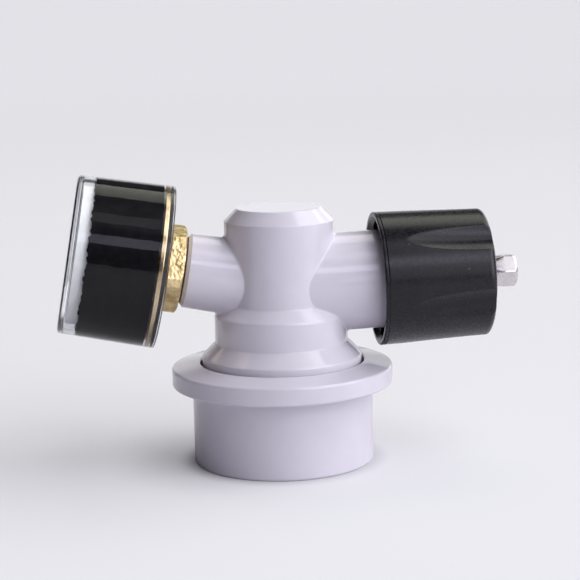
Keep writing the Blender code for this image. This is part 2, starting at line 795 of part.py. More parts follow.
def make_knob():
    """The fluted cup that screws along the barrel and presses on the spring seat."""
    edge, end_edge = 0.7, 1.2
    slope = (KNOB_END_R - KNOB_MOUTH_R) / (KNOB_END - KNOB_START)
    end_start = KNOB_END - end_edge
    outer = [(KNOB_MOUTH_R - edge * 0.6, KNOB_START)]
    outer += [(KNOB_MOUTH_R, KNOB_START + edge)]
    stations = 5
    for i in range(stations + 1):
        along = FLUTE_START + (end_start - FLUTE_START) * i / stations
        outer.append((KNOB_MOUTH_R + slope * (along - KNOB_START), along))
    outer += arc(KNOB_END_R - end_edge, end_start, end_edge, 30, 90, 2)
    inside = [
        (3.35, KNOB_END),
        (3.35, 27.8),
        (4.8, 27.8),
        (4.8, 33.4),
        (KNOB_THREAD_R, 33.4),
        (KNOB_THREAD_R, 24.0),
        (KNOB_RECESS_R, 23.4),
        (KNOB_RECESS_R, KNOB_START),
    ]
    inner_from = len(outer)
    outline = outer + inside
    limit = outline[inner_from - 1][0]

    def fluted(r, along, angle):
        if r < limit or along <= FLUTE_START or (r, along) in inside:
            return r
        return r - flute_cut(along, angle)

    knob = store("knob", turned(outline, 54, fluted), RELIEF, BLACK_PLASTIC)
    for index in range(FLUTE_COUNT):
        angle = FLUTE_PHASE + TURN * (index + 0.5) / FLUTE_COUNT
        rib = [(9.6, -0.55), (10.9, -0.55), (10.9, 0.55), (9.6, 0.55)]
        turn = Matrix.Rotation(angle, 4, "Z")
        bar = prism(rib, KNOB_START + 0.9, 24.2)
        combine(knob, store(f"knob_rib_{index + 1}", bar, RELIEF @ turn), "UNION")


def main():
    for old in list(bpy.data.objects):
        bpy.data.objects.remove(old, do_unlink=True)
    make_main_body()
    make_valve()
    make_collar()
    make_balls()
    make_socket()
    make_case()
    make_dial()
    make_movement()
    make_relief_valve()
    make_knob()


main()
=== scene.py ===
"""Looks of the keg gas disconnect: the pieces that show are modelled here, and all get a finish.

Lengths are in millimetres and become metres when a mesh is stored. Only the floor and the lights
are in metres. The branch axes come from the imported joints, so each piece shares the axis of the
CAD solid that it replaces.
"""

import json
import math

import bmesh
import bpy
import numpy as np
from mathutils import Matrix, Vector


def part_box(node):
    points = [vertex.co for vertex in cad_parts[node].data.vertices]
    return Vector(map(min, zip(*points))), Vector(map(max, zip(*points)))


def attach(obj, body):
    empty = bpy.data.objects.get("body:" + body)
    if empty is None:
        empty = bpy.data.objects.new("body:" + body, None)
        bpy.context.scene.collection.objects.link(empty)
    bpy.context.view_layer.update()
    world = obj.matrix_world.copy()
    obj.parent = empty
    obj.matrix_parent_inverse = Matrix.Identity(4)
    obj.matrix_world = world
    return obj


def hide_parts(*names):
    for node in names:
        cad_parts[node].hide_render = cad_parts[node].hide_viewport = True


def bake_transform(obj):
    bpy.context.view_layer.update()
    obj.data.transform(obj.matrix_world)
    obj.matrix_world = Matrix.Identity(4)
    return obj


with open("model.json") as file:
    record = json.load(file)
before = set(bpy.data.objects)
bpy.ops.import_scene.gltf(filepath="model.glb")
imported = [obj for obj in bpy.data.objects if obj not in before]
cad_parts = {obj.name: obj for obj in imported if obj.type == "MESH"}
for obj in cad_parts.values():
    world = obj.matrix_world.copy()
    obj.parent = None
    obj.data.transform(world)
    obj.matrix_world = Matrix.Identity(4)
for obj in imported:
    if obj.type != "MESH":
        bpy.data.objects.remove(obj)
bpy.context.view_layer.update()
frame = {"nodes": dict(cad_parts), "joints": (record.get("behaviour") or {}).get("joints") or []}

MM = 0.001
TURN = 2 * math.pi

# Facets round turned pieces, by size, and round those with flats or flutes
ROUND = 192
MEDIUM = 96
SMALL = 48
WITH_FLATS = 240
WITH_FLUTES = 480

# Degrees between two faces above which their edge is shaded sharp
CREASE = 32
KNOB_CREASE = 40

# Body, turned about Z
FOOT_R = 12.1
FOOT_BORE_R = 9.4
POST_BORE_R = 8.9
NOSE_BORE_R = 7.7
NOSE_BORE_FROM = 13.0
SOCKET_ROOF = 18.0
CHAMBER_R = 5.0
CHAMBER_TOP = 39.5
STOP_GROOVE_R = 11.3
STOP_GROOVE = (2.85, 4.35)
RIM_R = 14.15
RIM_BOTTOM = 16.0
BAND_R = 11.75
BAND_BOTTOM = 21.44
BAND_TOP = 26.2
COLUMN_R = 9.63
COLUMN_BOTTOM = 28.3
CHAMFER_START = 42.89
BODY_TOP = 45.14
TOP_FACE_R = 7.4

# Fillet between a barrel and the body, and the search for where its ball rests
BARREL_FILLET = 0.45
FILLET_ARC_STEPS = 7
FILLET_SUNK = 0.6
FILLET_SEARCH_FROM = 16.5
FILLET_SEARCH_STEP = 0.25
FILLET_HALVINGS = 30

# Release collar
SKIRT_R = 16.0
FLANGE_R = 19.55
FLANGE_BOTTOM = 13.87
FLANGE_EDGE_TOP = 17.1
COLLAR_TOP = 18.0
COLLAR_BORE_R = 14.5
MOUTH_R = 13.9
RELEASE_R = 13.1
LAND_R = 12.75
LAND_FROM = 5.75
LAND_TO = 9.0
STOP_SHOULDER = 4.5

# Locking balls and their pockets, which run out from the body's axis
BALL_R = 2.0
BALL_HEIGHT = 6.5
BALL_COUNT = 6
BALL_CLEARANCE = 0.12
POCKET_FROM = 7.0
POCKET_NECK_R = 1.85
POCKET_NECK_TO = 9.2
POCKET_WIDE_FROM = 9.8
POCKET_TO = 14.0

# Valve
SEAT_HOLE_R = 2.4
SEAT_R = 4.7
SEAT_TOP = 21.0
POPPET_FOOT = 12.5
POPPET_FOOT_R = 2.2
POPPET_STEM_R = 1.6
POPPET_HEAD_R = 3.9
POPPET_HEAD_FROM = 22.6
POPPET_HEAD_TO = 24.4
POPPET_GUIDE_R = 1.3
POPPET_TOP = 31.0

# Gauge branch, measured along its axis
GAUGE_ROOT_R = 6.9
GAUGE_END_R = 6.55
GAUGE_END = 17.2
GAUGE_EDGE = 0.6
GAUGE_BORE_R = 4.95
GAUGE_BORE_FROM = 9.8
GAUGE_POLE = 6.0
STEM_FROM = 9.0
STEM_R = 4.65
STEM_GROOVE_R = 3.9
STEM_NECK_R = 3.4
STEM_FRONT = 23.4
BLOCK_FROM = 23.0
BLOCK_TO = 27.1
BLOCK_HUB_R = 3.6
BLOCK_TIP_R = 1.9
BLOCK_REACH = 9.3
BLOCK_ANGLE = math.radians(-143)
PORT_RING_R = (5.4, 5.85)
PORT_RING = (17.27, 17.55)
HEX_FLATS = 14.0
HEX_CORNER_R = 7.72
HEX_FIRST_CORNER = math.radians(49.4)
HEX_BACK = 17.6
HEX_FRONT = 20.3
HEX_ROUGHNESS = 0.05
CASE_BACK = 20.62
CASE_FRONT = 37.6
CASE_BACK_R = 14.27
CASE_FRONT_R = 13.8
CASE_WALL = 1.0
WINDOW = 0.9
PLATE_BACK = 21.4
PLATE_FRONT = 22.3
PLATE_HOLE_R = 3.7
PLATE_DISHING = 0.25
PLATE_OVERLAP = 0.04
GASKET_BACK = CASE_BACK + 0.27
GASKET_WIDTH = 0.7
SLEEVE_FROM = 22.6
SLEEVE_TO = 34.6
SLEEVE_OVERLAP = 0.05
SLEEVE_THICKNESS = 0.35
TEAR_DEPTH = 0.44
TEAR_REACH = 2.0
DIAL_BACK = 34.0
DIAL_FACE = 34.6
DIAL_R = 12.0
DIAL_RIM = 0.45
DIAL_RIM_FRONT = 36.4
DIAL_HOLE_R = 1.0
SCREW_X = 4.0
SCREW_FROM = 32.2
SCREW_R = 0.45
SCREW_HEAD_FROM = 34.7
SCREW_HEAD_TO = 35.0
SCREW_HEAD_R = 1.05

# Printed scale
SCALE_START = math.radians(225)
SCALE_SWEEP = math.radians(270)
SCALE_DIVISIONS = 30
NUMBER_EVERY = 5
LONG_MARK_FROM = 9.3
LONG_MARK_HALF = 0.14
SHORT_MARK_FROM = 10.1
SHORT_MARK_HALF = 0.07
MARK_TO = 11.0
SCALE_ARC_R = (11.08, 10.95)
SCALE_ARC_STEPS = 96
PRINT_LOW = 0.005
PRINT_HIGH = 0.03
NUMBER_MIDDLE = 0.02
NUMBER_HALF_DEPTH = 0.012
NUMBER_HEIGHT = 2.3
NUMBER_R = 7.7

# Relief branch, measured along its axis
RELIEF_R = 8.73
RELIEF_END = 30.5
RELIEF_EDGE = 0.5
RELIEF_BORE_R = 6.4
RELIEF_BORE_FROM = 11.0
RELIEF_POLE = 5.6
KNOB_START = 17.0
KNOB_END = 36.6
KNOB_LENGTH = KNOB_END - KNOB_START
KNOB_MOUTH_R = 11.8
KNOB_END_R = 11.45
KNOB_RECESS_R = 10.45
KNOB_THREAD_R = 9.05
KNOB_THREAD = (24.0, 33.4)
KNOB_HUB_R = 4.8
KNOB_HUB_FROM = 27.8
KNOB_HOLE_R = 3.35
RIB_FROM = 17.9
RIB_TO = 23.3
RIB_HEIGHT = 0.85
RIB_HALF = 0.75
RIB_SLOPE = 0.2
FLUTES = 6
FLUTE_START = 21.5
FLUTE_DEPTH = 1.1
FLUTE_SOFTNESS = 0.35
FLUTE_HALF = math.radians(12.8)
FLUTE_PHASE = math.radians(18)
PIN_BACK = 14.7
PIN_TIP = 42.2
PIN_R = 1.5
PIN_NECK_FROM = 34.0
PIN_NECK_R = 2.35
PIN_HEAD_FROM = 37.0
PIN_HEAD_R = 3.16
PIN_HEAD_FLAT = 2.76
PIN_HEAD_CHAMFER = 0.6
PIN_HEAD_CORNER = math.radians(176)
PIN_HEAD_SOFTNESS = 0.12

# Springs: radius of the coil, radius of the wire, turns, and where they start and end
POPPET_COIL = (3.4, 0.3, 6, 24.7, 38.2)
COLLAR_COIL = (13.3, 0.5, 3, LAND_TO + 0.3, RIM_BOTTOM - 0.3)
RELIEF_COIL = (3.7, 0.45, 5, 15.7, 25.7)
FLAT_TURNS = 0.75
STEPS_PER_TURN = 48

# Camera, as fitted to the photograph
CAMERA_PLACE = (-30.26, -295.86, 82.76)
CAMERA_LENS = 106.28
CAMERA_PAN = math.radians(6.168)
CAMERA_TILT = math.radians(9.996)
CAMERA_ROLL = math.radians(-1.375)

# Studio, in metres and radians
CLIP_START = 0.01
FLOOR_HALF = 60.0
SUN_SPREAD = math.radians(50)
COOL_WHITE = (0.93, 0.92, 1.0)


# Frames of the two branches


def branch_frame(point, out):
    """Local Z runs out along the branch, local Y is up, and the origin is where it crosses Z."""
    out = Vector(out).normalized()
    point = Vector(point)
    origin = point - out * (point.x / out.x)
    side = Vector((0, 0, 1)).cross(out).normalized()
    matrix = Matrix((side, out.cross(side), out)).transposed().to_4x4()
    matrix.translation = origin
    return matrix


JOINTS = {joint["name"]: joint for joint in frame["joints"]}
UPRIGHT = Matrix.Identity(4)
RELIEF = branch_frame(JOINTS["knob_turn"]["pos_m"], JOINTS["vent_pull"]["axis"])
GAUGE = branch_frame(
    JOINTS["pointer_turn"]["pos_m"], -Vector(JOINTS["pointer_turn"]["axis"])
)


# Outlines and meshes


def arc(centre, first, last, sweep, steps):
    """Points about a centre, from one radius vector round to another."""
    points = []
    for k in range(steps + 1):
        share = k / steps
        if sweep < 1e-4:
            points.append(centre + first)
            continue
        a = math.sin((1 - share) * sweep) / math.sin(sweep)
        b = math.sin(share * sweep) / math.sin(sweep)
        points.append(centre + first * a + last * b)
    return points


def rounded(corners, step=math.radians(11)):
    """A closed outline of (r, z) corners in which a third number rounds that corner."""
    points = []
    count = len(corners)
    for i, corner in enumerate(corners):
        here = Vector(corner[:2])
        radius = corner[2] if len(corner) > 2 else 0
        if not radius:
            points.append(tuple(here))
            continue
        before = Vector(corners[i - 1][:2]) - here
        after = Vector(corners[(i + 1) % count][:2]) - here
        bend = before.angle(after)
        reach = min(radius / math.tan(bend / 2), 0.48 * before.length, 0.48 * after.length)
        radius = reach * math.tan(bend / 2)
        start = here + before.normalized() * reach
        end = here + after.normalized() * reach
        middle = (before.normalized() + after.normalized()).normalized()
        centre = here + middle * (radius / math.sin(bend / 2))
        sweep = math.pi - bend
        steps = max(2, math.ceil(sweep / step))
        bow = arc(centre, start - centre, end - centre, sweep, steps)
        points += [tuple(point) for point in bow]
    return points


def supported(points, margin=0.06, longest=3.0):
    """The outline with points added along each straight stretch off the axis, for shading."""
    out = []
    for first, second in zip(points, points[1:] + points[:1]):
        a, b = Vector(first), Vector(second)
        out.append(first)
        length = (b - a).length
        if length < 6 * margin or a.x == b.x == 0:
            continue
        cuts = [margin / length, 1 - margin / length]
        inner = math.ceil(length / longest)
        cuts += [k / inner for k in range(1, inner)]
        out += [tuple(a.lerp(b, share)) for share in sorted(cuts)]
    return out


def bridge(shape, first, second):
    """Faces between two rings of the same count, or between a ring and a pole."""
    count = max(len(first), len(second))
    for i in range(count):
        j = (i + 1) % count
        if len(first) == 1:
            shape.faces.new((first[0], second[j], second[i]))
        elif len(second) == 1:
            shape.faces.new((first[i], first[j], second[0]))
        else:
            shape.faces.new((first[i], first[j], second[j], second[i]))


def lathe(outline, segments, radius_at=None, phase=0.0):
    """Turn a closed outline about local Z. Radius 0 closes in one pole."""
    shape = bmesh.new()
    rings = []
    for r, z in outline:
        if r < 1e-6:
            rings.append([shape.verts.new((0, 0, z))])
            continue
        ring = []
        for i in range(segments):
            angle = TURN * i / segments + phase
            here = radius_at(r, z, angle) if radius_at else r
            ring.append(shape.verts.new((here * math.cos(angle), here * math.sin(angle), z)))
        rings.append(ring)
    for first, second in zip(rings, rings[1:] + rings[:1]):
        if len(first) > 1 or len(second) > 1:
            bridge(shape, first, second)
    return shape


def swept(points, ring):
    """Sweep a ring of (out, up) offsets along (position, out, up) points, with capped ends."""
    shape = bmesh.new()
    rings = []
    for position, out, up in points:
        rings.append([shape.verts.new(position + out * a + up * b) for a, b in ring])
    for first, second in zip(rings, rings[1:]):
        bridge(shape, first, second)
    shape.faces.new(rings[0])
    shape.faces.new(rings[-1])
    return shape


def circle(radius, count, x=0.0, y=0.0):
    """Points round a circle."""
    angles = [TURN * i / count for i in range(count)]
    return [(x + radius * math.cos(a), y + radius * math.sin(a)) for a in angles]


def polar(radius, angle):
    """The point at that radius and angle."""
    return Vector((radius * math.cos(angle), radius * math.sin(angle)))


def prism(outline, low, high):
    """Extrude a closed outline of (x, y) points along local Z."""
    shape = bmesh.new()
    floor = [shape.verts.new((x, y, low)) for x, y in outline]
    roof = [shape.verts.new((x, y, high)) for x, y in outline]
    shape.faces.new(floor)
    shape.faces.new(roof)
    bridge(shape, floor, roof)
    return shape


def joined(*shapes):
    """One bmesh that holds the shells of several."""
    total = bmesh.new()
    for shape in shapes:
        mesh = bpy.data.meshes.new("joined")
        shape.to_mesh(mesh)
        shape.free()
        total.from_mesh(mesh)
        bpy.data.meshes.remove(mesh)
    return total


def placed(shape, place):
    """The shape moved by a matrix whose lengths are in millimetres."""
    bmesh.ops.transform(shape, matrix=place, verts=shape.verts)
    return shape


def added(name, data):
    """A new object in the scene."""
    made = bpy.data.objects.new(name, data)
    bpy.context.scene.collection.objects.link(made)
    return made


def stored(name, shape, place):
    """The shape as an object, in metres and placed by its branch's frame."""
    bmesh.ops.recalc_face_normals(shape, faces=shape.faces)
    bmesh.ops.scale(shape, vec=(MM, MM, MM), verts=shape.verts)
    bmesh.ops.transform(shape, matrix=place, verts=shape.verts)
    mesh = bpy.data.meshes.new(name)
    shape.to_mesh(mesh)
    shape.free()
    return added(name, mesh)


def smoothed(mesh, crease=CREASE):
    """Shade smooth, except across edges sharper than the crease."""
    mesh.shade_smooth()
    mesh.set_sharp_from_angle(angle=math.radians(crease))


def piece(name, shape, place, material, body, replaces=(), crease=CREASE):
    """A finished object that rides on its body.

    A piece whose body is given as two bodies and two points, as a spring's is, stays where it
    stands and is attached to neither.
    """
    made = stored(name, shape, place)
    smoothed(made.data, crease)
    made.data.materials.append(material)
    if isinstance(body, str):
        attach(made, body)
    else:
        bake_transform(made)
    if replaces:
        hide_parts(*replaces)
    return made


def turned(name, corners, place, material, body, replaces=(), segments=ROUND):
    """A piece turned from its outline's corners."""
    shape = lathe(supported(rounded(corners)), segments)
    return piece(name, shape, place, material, body, replaces)


def bored(made, cutter):
    """Take a closed shape out of a piece whose frame is upright."""
    tool = stored("cutter", cutter, UPRIGHT)
    difference = made.modifiers.new("bore", "BOOLEAN")
    difference.operation = "DIFFERENCE"
    difference.solver = "EXACT"
    difference.object = tool
    graph = bpy.context.evaluated_depsgraph_get()
    made.data = bpy.data.meshes.new_from_object(made.evaluated_get(graph))
    made.modifiers.clear()
    smoothed(made.data)
    bpy.data.objects.remove(tool)


# Materials. Texture coordinates are object coordinates in metres, so a scale of 1000 is 1 mm.


class Nodes:
    """A node tree under construction, with short names for the nodes."""

    def __init__(self, tree):
        self.tree = tree

    def node(self, kind, **settings):
        made = self.tree.nodes.new(kind)
        for key, value in settings.items():
            setattr(made, key, value)
        return made

    def link(self, source, target):
        self.tree.links.new(source, target)

    def feed(self, target, value):
        """Link another node's output to a socket, or give it a plain value."""
        if isinstance(value, bpy.types.NodeSocket):
            self.link(value, target)
        else:
            target.default_value = value

    def math(self, operation, first, second):
        made = self.node("ShaderNodeMath", operation=operation)
        self.feed(made.inputs[0], first)
        self.feed(made.inputs[1], second)
        return made.outputs[0]

    def span(self, source, low, high, start=0.3, end=0.7, kind="LINEAR"):
        """The source from start to end, read as low to high."""
        made = self.node("ShaderNodeMapRange", interpolation_type=kind)
        for socket, value in zip(made.inputs, (source, start, end, low, high)):
            self.feed(socket, value)
        return made.outputs["Result"]

    def ease(self, source, low, high, start, end):
        """A span that starts and ends gently."""
        return self.span(source, low, high, start, end, "SMOOTHSTEP")

    def part_rays(self, kind, others, chosen, output):
        """Show one shader to rays of that kind and the other to all the rest."""
        mix = self.node("ShaderNodeMixShader")
        self.link(self.node("ShaderNodeLightPath").outputs[kind], mix.inputs["Fac"])
        self.link(others, mix.inputs[1])
        self.link(chosen, mix.inputs[2])
        self.link(mix.outputs["Shader"], output.inputs["Surface"])


class Finish(Nodes):
    """A material under construction, with its Principled shader."""

    def __init__(self, name, colour, roughness, metallic=0.0, ior=1.5):
        self.material = bpy.data.materials.new(name)
        self.material.use_nodes = True
        super().__init__(self.material.node_tree)
        self.shader = self.tree.nodes["Principled BSDF"]
        self.output = self.tree.nodes["Material Output"]
        self.put("Base Color", (*colour, 1.0))
        self.put("Roughness", roughness)
        self.put("Metallic", metallic)
        self.put("IOR", ior)
        self.place = self.node("ShaderNodeTexCoord").outputs["Object"]
        self.normal = None

    def put(self, socket, value):
        self.shader.inputs[socket].default_value = value

    def stretched(self, scale):
        """Coordinates scaled by a different amount along each axis."""
        mapping = self.node("ShaderNodeMapping")
        mapping.inputs["Scale"].default_value = scale
        self.link(self.place, mapping.inputs["Vector"])
        return mapping.outputs["Vector"]

    def noise(self, scale, detail=3.0, roughness=0.5, vector=None):
        made = self.node("ShaderNodeTexNoise")
        made.inputs["Scale"].default_value = scale
        made.inputs["Detail"].default_value = detail
        made.inputs["Roughness"].default_value = roughness
        self.link(vector or self.place, made.inputs["Vector"])
        return made.outputs["Fac"]

    def specks(self, scale, size, density):
        """1 on small sparse dots, 0 elsewhere."""
        dots = self.node("ShaderNodeTexVoronoi")
        dots.inputs["Scale"].default_value = scale
        self.link(self.place, dots.inputs["Vector"])
        inside = self.math("LESS_THAN", dots.outputs["Distance"], size)
        chosen = self.node("ShaderNodeSeparateColor")
        self.link(dots.outputs["Color"], chosen.inputs["Color"])
        kept = self.math("LESS_THAN", chosen.outputs["Red"], density)
        return self.math("MULTIPLY", inside, kept)

    def tones(self, source, dark, light, low=0.3, high=0.7):
        """A colour ramp from one tone to another."""
        ramp = self.node("ShaderNodeValToRGB")
        stops = ((low, dark), (high, light))
        for element, (position, colour) in zip(ramp.color_ramp.elements, stops):
            element.position = position
            element.color = (*colour, 1.0)
        self.link(source, ramp.inputs["Fac"])
        return ramp.outputs["Color"]

    def blend(self, share, first, second):
        """Colour mix. A Mix node's colours are its inputs 6 and 7 and its output 2."""
        made = self.node("ShaderNodeMix", data_type="RGBA")
        self.link(share, made.inputs["Factor"])
        self.feed(made.inputs[6], first)
        self.feed(made.inputs[7], second)
        return made.outputs[2]

    def bump(self, height, depth_mm):
        """Add relief of that depth to the shader's normal."""
        made = self.node("ShaderNodeBump")
        made.inputs["Distance"].default_value = depth_mm * MM
        self.link(height, made.inputs["Height"])
        if self.normal:
            self.link(self.normal, made.inputs["Normal"])
        self.normal = made.outputs["Normal"]
        self.link(self.normal, self.shader.inputs["Normal"])

    def colour(self, source):
        self.link(source, self.shader.inputs["Base Color"])

    def rough(self, source):
        self.link(source, self.shader.inputs["Roughness"])


def grey_plastic():
    """Glossy lavender-grey acetal with faint flow mottling, orange peel and handling marks."""
    f = Finish("grey_acetal", (0.59, 0.565, 0.645), 0.1, ior=1.52)
    flow = f.noise(160, 3, 0.55)
    f.colour(f.tones(flow, (0.575, 0.55, 0.63), (0.605, 0.58, 0.66)))
    scuffs = f.noise(900, 4, 0.6, f.stretched((1, 1, 0.12)))
    f.rough(f.span(scuffs, 0.03, 0.07))
    f.bump(f.noise(420, 2, 0.4), 0.004)
    f.bump(f.noise(2600, 3, 0.5), 0.0012)
    return f.material


def black_plastic():
    """Satin black moulding with a fine spark-eroded grain and a little dust."""
    f = Finish("black_moulding", (0.010, 0.010, 0.015), 0.35, ior=1.42)
    tone = f.noise(240, 3, 0.5)
    base = f.tones(tone, (0.003, 0.003, 0.006), (0.006, 0.006, 0.010))
    f.colour(f.blend(f.specks(700, 0.12, 0.08), base, (0.05, 0.05, 0.055, 1.0)))
    f.rough(f.span(f.noise(1400, 3, 0.6), 0.22, 0.32))
    f.bump(f.noise(5200, 2, 0.5), 0.004)
    f.bump(f.noise(700, 2, 0.5), 0.004)
    return f.material


def clear_plastic():
    """Clear moulded cup. Lamps light what is inside it through its wall."""
    f = Finish("clear_styrene", (0.86, 0.87, 0.90), 0.03, ior=1.3)
    f.put("Transmission Weight", 1.0)
    f.rough(f.span(f.noise(500, 4, 0.6), 0.02, 0.07))
    f.bump(f.noise(260, 2, 0.4), 0.004)
    through = f.node("ShaderNodeBsdfTransparent").outputs["BSDF"]
    f.part_rays("Is Shadow Ray", f.shader.outputs["BSDF"], through, f.output)
    return f.material


def gloss_black():
    """Gloss black with fine rubs."""
    f = Finish("gloss_black", (0.006, 0.006, 0.007), 0.12, ior=1.12)
    tone = f.noise(700, 4, 0.6)
    f.colour(f.tones(tone, (0.004, 0.004, 0.005), (0.010, 0.010, 0.012), 0.35, 0.8))
    rubs = f.noise(1200, 4, 0.6, f.stretched((0.2, 1, 1)))
    f.rough(f.span(rubs, 0.08, 0.2))
    f.bump(f.noise(300, 3, 0.5), 0.006)
    return f.material


def metal(name, dark, light, rough, grain, depth):
    """A metal with fine marks, tarnish and uneven polish."""
    f = Finish(name, light, rough[0], metallic=1.0)
    f.colour(f.tones(f.noise(grain * 0.12, 4, 0.6), dark, light, 0.32, 0.62))
    marks = f.noise(grain, 4, 0.6)
    f.rough(f.span(marks, *rough))
    f.bump(marks, depth)
    return f.material


def brass():
    """Hot-pressed brass: lumpy, matt in the hollows and bright on the high spots."""
    f = Finish("pressed_brass", (0.85, 0.68, 0.38), 0.4, metallic=1.0)
    tarnish = f.noise(600, 4, 0.65)
    f.colour(f.tones(tarnish, (0.57, 0.40, 0.16), (0.92, 0.74, 0.41), high=0.6))
    lumps = f.noise(950, 2, 0.5)
    f.rough(f.span(lumps, 0.45, 0.28))
    f.bump(f.span(lumps, 0, 1, 0.35, 0.65), 0.085)
    f.bump(f.noise(5200, 3, 0.5), 0.008)
    return f.material


def rubber():
    """Matt black rubber with a faint bloom."""
    f = Finish("nitrile_rubber", (0.02, 0.02, 0.021), 0.6)
    tone = f.noise(900, 3, 0.5)
    f.colour(f.tones(tone, (0.014, 0.014, 0.015), (0.03, 0.03, 0.031)))
    f.rough(f.span(f.noise(2200, 3, 0.5), 0.5, 0.7))
    f.bump(f.noise(3000, 2, 0.5), 0.008)
    return f.material


def enamel(name, dark, light, rough):
    """Paint or ink between two tones."""
    f = Finish(name, light, rough[0])
    f.colour(f.tones(f.noise(500, 3, 0.5), dark, light))
    f.rough(f.span(f.noise(1500, 3, 0.5), *rough))
    f.bump(f.noise(1800, 3, 0.5), 0.003)
    return f.material


GREY = grey_plastic()
BLACK = black_plastic()
CLEAR = clear_plastic()
GLOSS = gloss_black()
BRASS = brass()
GILT = metal("gilt_steel", (0.45, 0.32, 0.17), (0.72, 0.58, 0.38), (0.14, 0.26), 1100, 0.004)
TURNED = metal("turned_steel", (0.5, 0.5, 0.5), (0.72, 0.72, 0.73), (0.2, 0.36), 2200, 0.004)
POLISHED = metal(
    "polished_steel", (0.62, 0.59, 0.59), (0.78, 0.75, 0.75), (0.24, 0.34), 1300, 0.002
)
WIRE = metal("spring_wire", (0.42, 0.42, 0.43), (0.64, 0.64, 0.66), (0.22, 0.36), 2600, 0.003)
RUBBER = rubber()
ENAMEL = enamel("white_enamel", (0.80, 0.80, 0.78), (0.86, 0.86, 0.84), (0.35, 0.5))
INK = enamel("black_ink", (0.008, 0.008, 0.008), (0.02, 0.02, 0.02), (0.4, 0.55))


# Body and its two barrels


def body_outline():
    """The body's outline: up the outside from the foot, and down the inside."""
    cone_start = BAND_BOTTOM - (RIM_R - BAND_R)
    groove_low, groove_high = STOP_GROOVE
    return [
        (FOOT_BORE_R, 0, 0.15),
        (FOOT_R, 0, 0.35),
        (FOOT_R, groove_low, 0.08),
        (STOP_GROOVE_R, groove_low, 0.08),
        (STOP_GROOVE_R, groove_high, 0.08),
        (FOOT_R, groove_high, 0.08),
        (FOOT_R, RIM_BOTTOM, 0.2),
        (RIM_R, RIM_BOTTOM, 0.3),
        (RIM_R, cone_start, 0.5),
        (BAND_R, BAND_BOTTOM, 0.4),
        (BAND_R, BAND_TOP + 0.2, 0.75),
        (COLUMN_R, COLUMN_BOTTOM + 0.1, 0.5),
        (COLUMN_R, CHAMFER_START, 0.3),
        (TOP_FACE_R, BODY_TOP, 0.35),
        (0, BODY_TOP),
        (0, CHAMBER_TOP),
        (CHAMBER_R, CHAMBER_TOP, 1.0),
        (CHAMBER_R, SOCKET_ROOF, 0.2),
        (NOSE_BORE_R, SOCKET_ROOF, 0.3),
        (NOSE_BORE_R, NOSE_BORE_FROM + 0.8, 0.1),
        (POST_BORE_R, NOSE_BORE_FROM, 0.1),
        (POST_BORE_R, 0.5, 0.2),
    ]


class BodySkin:
    """Distance from the outside of the turned body, for fillets that roll along it."""

    def __init__(self):
        points = rounded(body_outline())
        top = next(index for index, (radius, _) in enumerate(points) if radius < 1e-6)
        upper = [p for p in points[: top + 1] if p[1] > RIM_BOTTOM]
        self.starts = np.array(upper[:-1])
        self.steps = np.array(upper[1:]) - self.starts
        self.radii = np.array([p[0] for p in upper])
        self.heights = np.array([p[1] for p in upper])

    def nearest(self, point):
        """Signed distance from the skin, and the nearest point on it."""
        radius = math.hypot(point.x, point.y)
        flat = np.array((radius, point.z))
        shares = ((flat - self.starts) * self.steps).sum(1) / (self.steps**2).sum(1)
        feet = self.starts + self.steps * np.clip(shares, 0, 1)[:, None]
        gaps = np.linalg.norm(feet - flat, axis=1)
        index = int(gaps.argmin())
        inside = radius < np.interp(point.z, self.heights, self.radii)
        turn = Vector((point.x / radius, point.y / radius, 0))
        foot = turn * float(feet[index][0]) + Vector((0, 0, float(feet[index][1])))
        return float(-gaps[index] if inside else gaps[index]), foot


def make_body():
    """The turned body, with a pocket for each locking ball."""
    outline = body_outline()
    body = turned("body_shell", outline, UPRIGHT, GREY, "root", ["main_body"])
    wide_r = BALL_R + BALL_CLEARANCE
    pocket = [
        (0, POCKET_FROM),
        (POCKET_NECK_R, POCKET_FROM),
        (POCKET_NECK_R, POCKET_NECK_TO),
        (wide_r, POCKET_WIDE_FROM),
        (wide_r, POCKET_TO),
        (0, POCKET_TO),
    ]
    turns = [Matrix.Rotation(TURN * i / BALL_COUNT, 4, "Z") for i in range(BALL_COUNT)]
    lift = Matrix.Translation((0, 0, BALL_HEIGHT)) @ Matrix.Rotation(math.pi / 2, 4, "Y")
    bored(body, joined(*(placed(lathe(pocket, SMALL), turn @ lift) for turn in turns)))


def rolled_fillet(local, root_r, slope):
    """Roll a ball round the corner between a barrel and the body.

    Gives how far along the barrel the fillet starts at each angle, and the fillet's rings: one
    sunk in the body, then the arc from the body out to the barrel.
    """
    skin = BodySkin()
    arcs = []
    starts = []
    for i in range(ROUND):
        angle = TURN * i / ROUND
        way = Vector((math.cos(angle), math.sin(angle), 0))

        def centre(along):
            return local @ (way * (root_r + slope * along + BARREL_FILLET) + Vector((0, 0, along)))

        low = FILLET_SEARCH_FROM
        while skin.nearest(centre(low))[0] > BARREL_FILLET:
            low -= FILLET_SEARCH_STEP
        high = low + FILLET_SEARCH_STEP
        for _ in range(FILLET_HALVINGS):
            middle = (low + high) / 2
            if skin.nearest(centre(middle))[0] > BARREL_FILLET:
                high = middle
            else:
                low = middle
        ball = centre(high)
        foot = skin.nearest(ball)[1]
        on_barrel = local @ (way * (root_r + slope * high) + Vector((0, 0, high)))
        first, last = on_barrel - ball, foot - ball
        points = arc(ball, first, last, first.angle(last), FILLET_ARC_STEPS)
        points.append(foot + last.normalized() * FILLET_SUNK)
        arcs.append(points[::-1])
        starts.append(high)
    return starts, list(zip(*arcs))


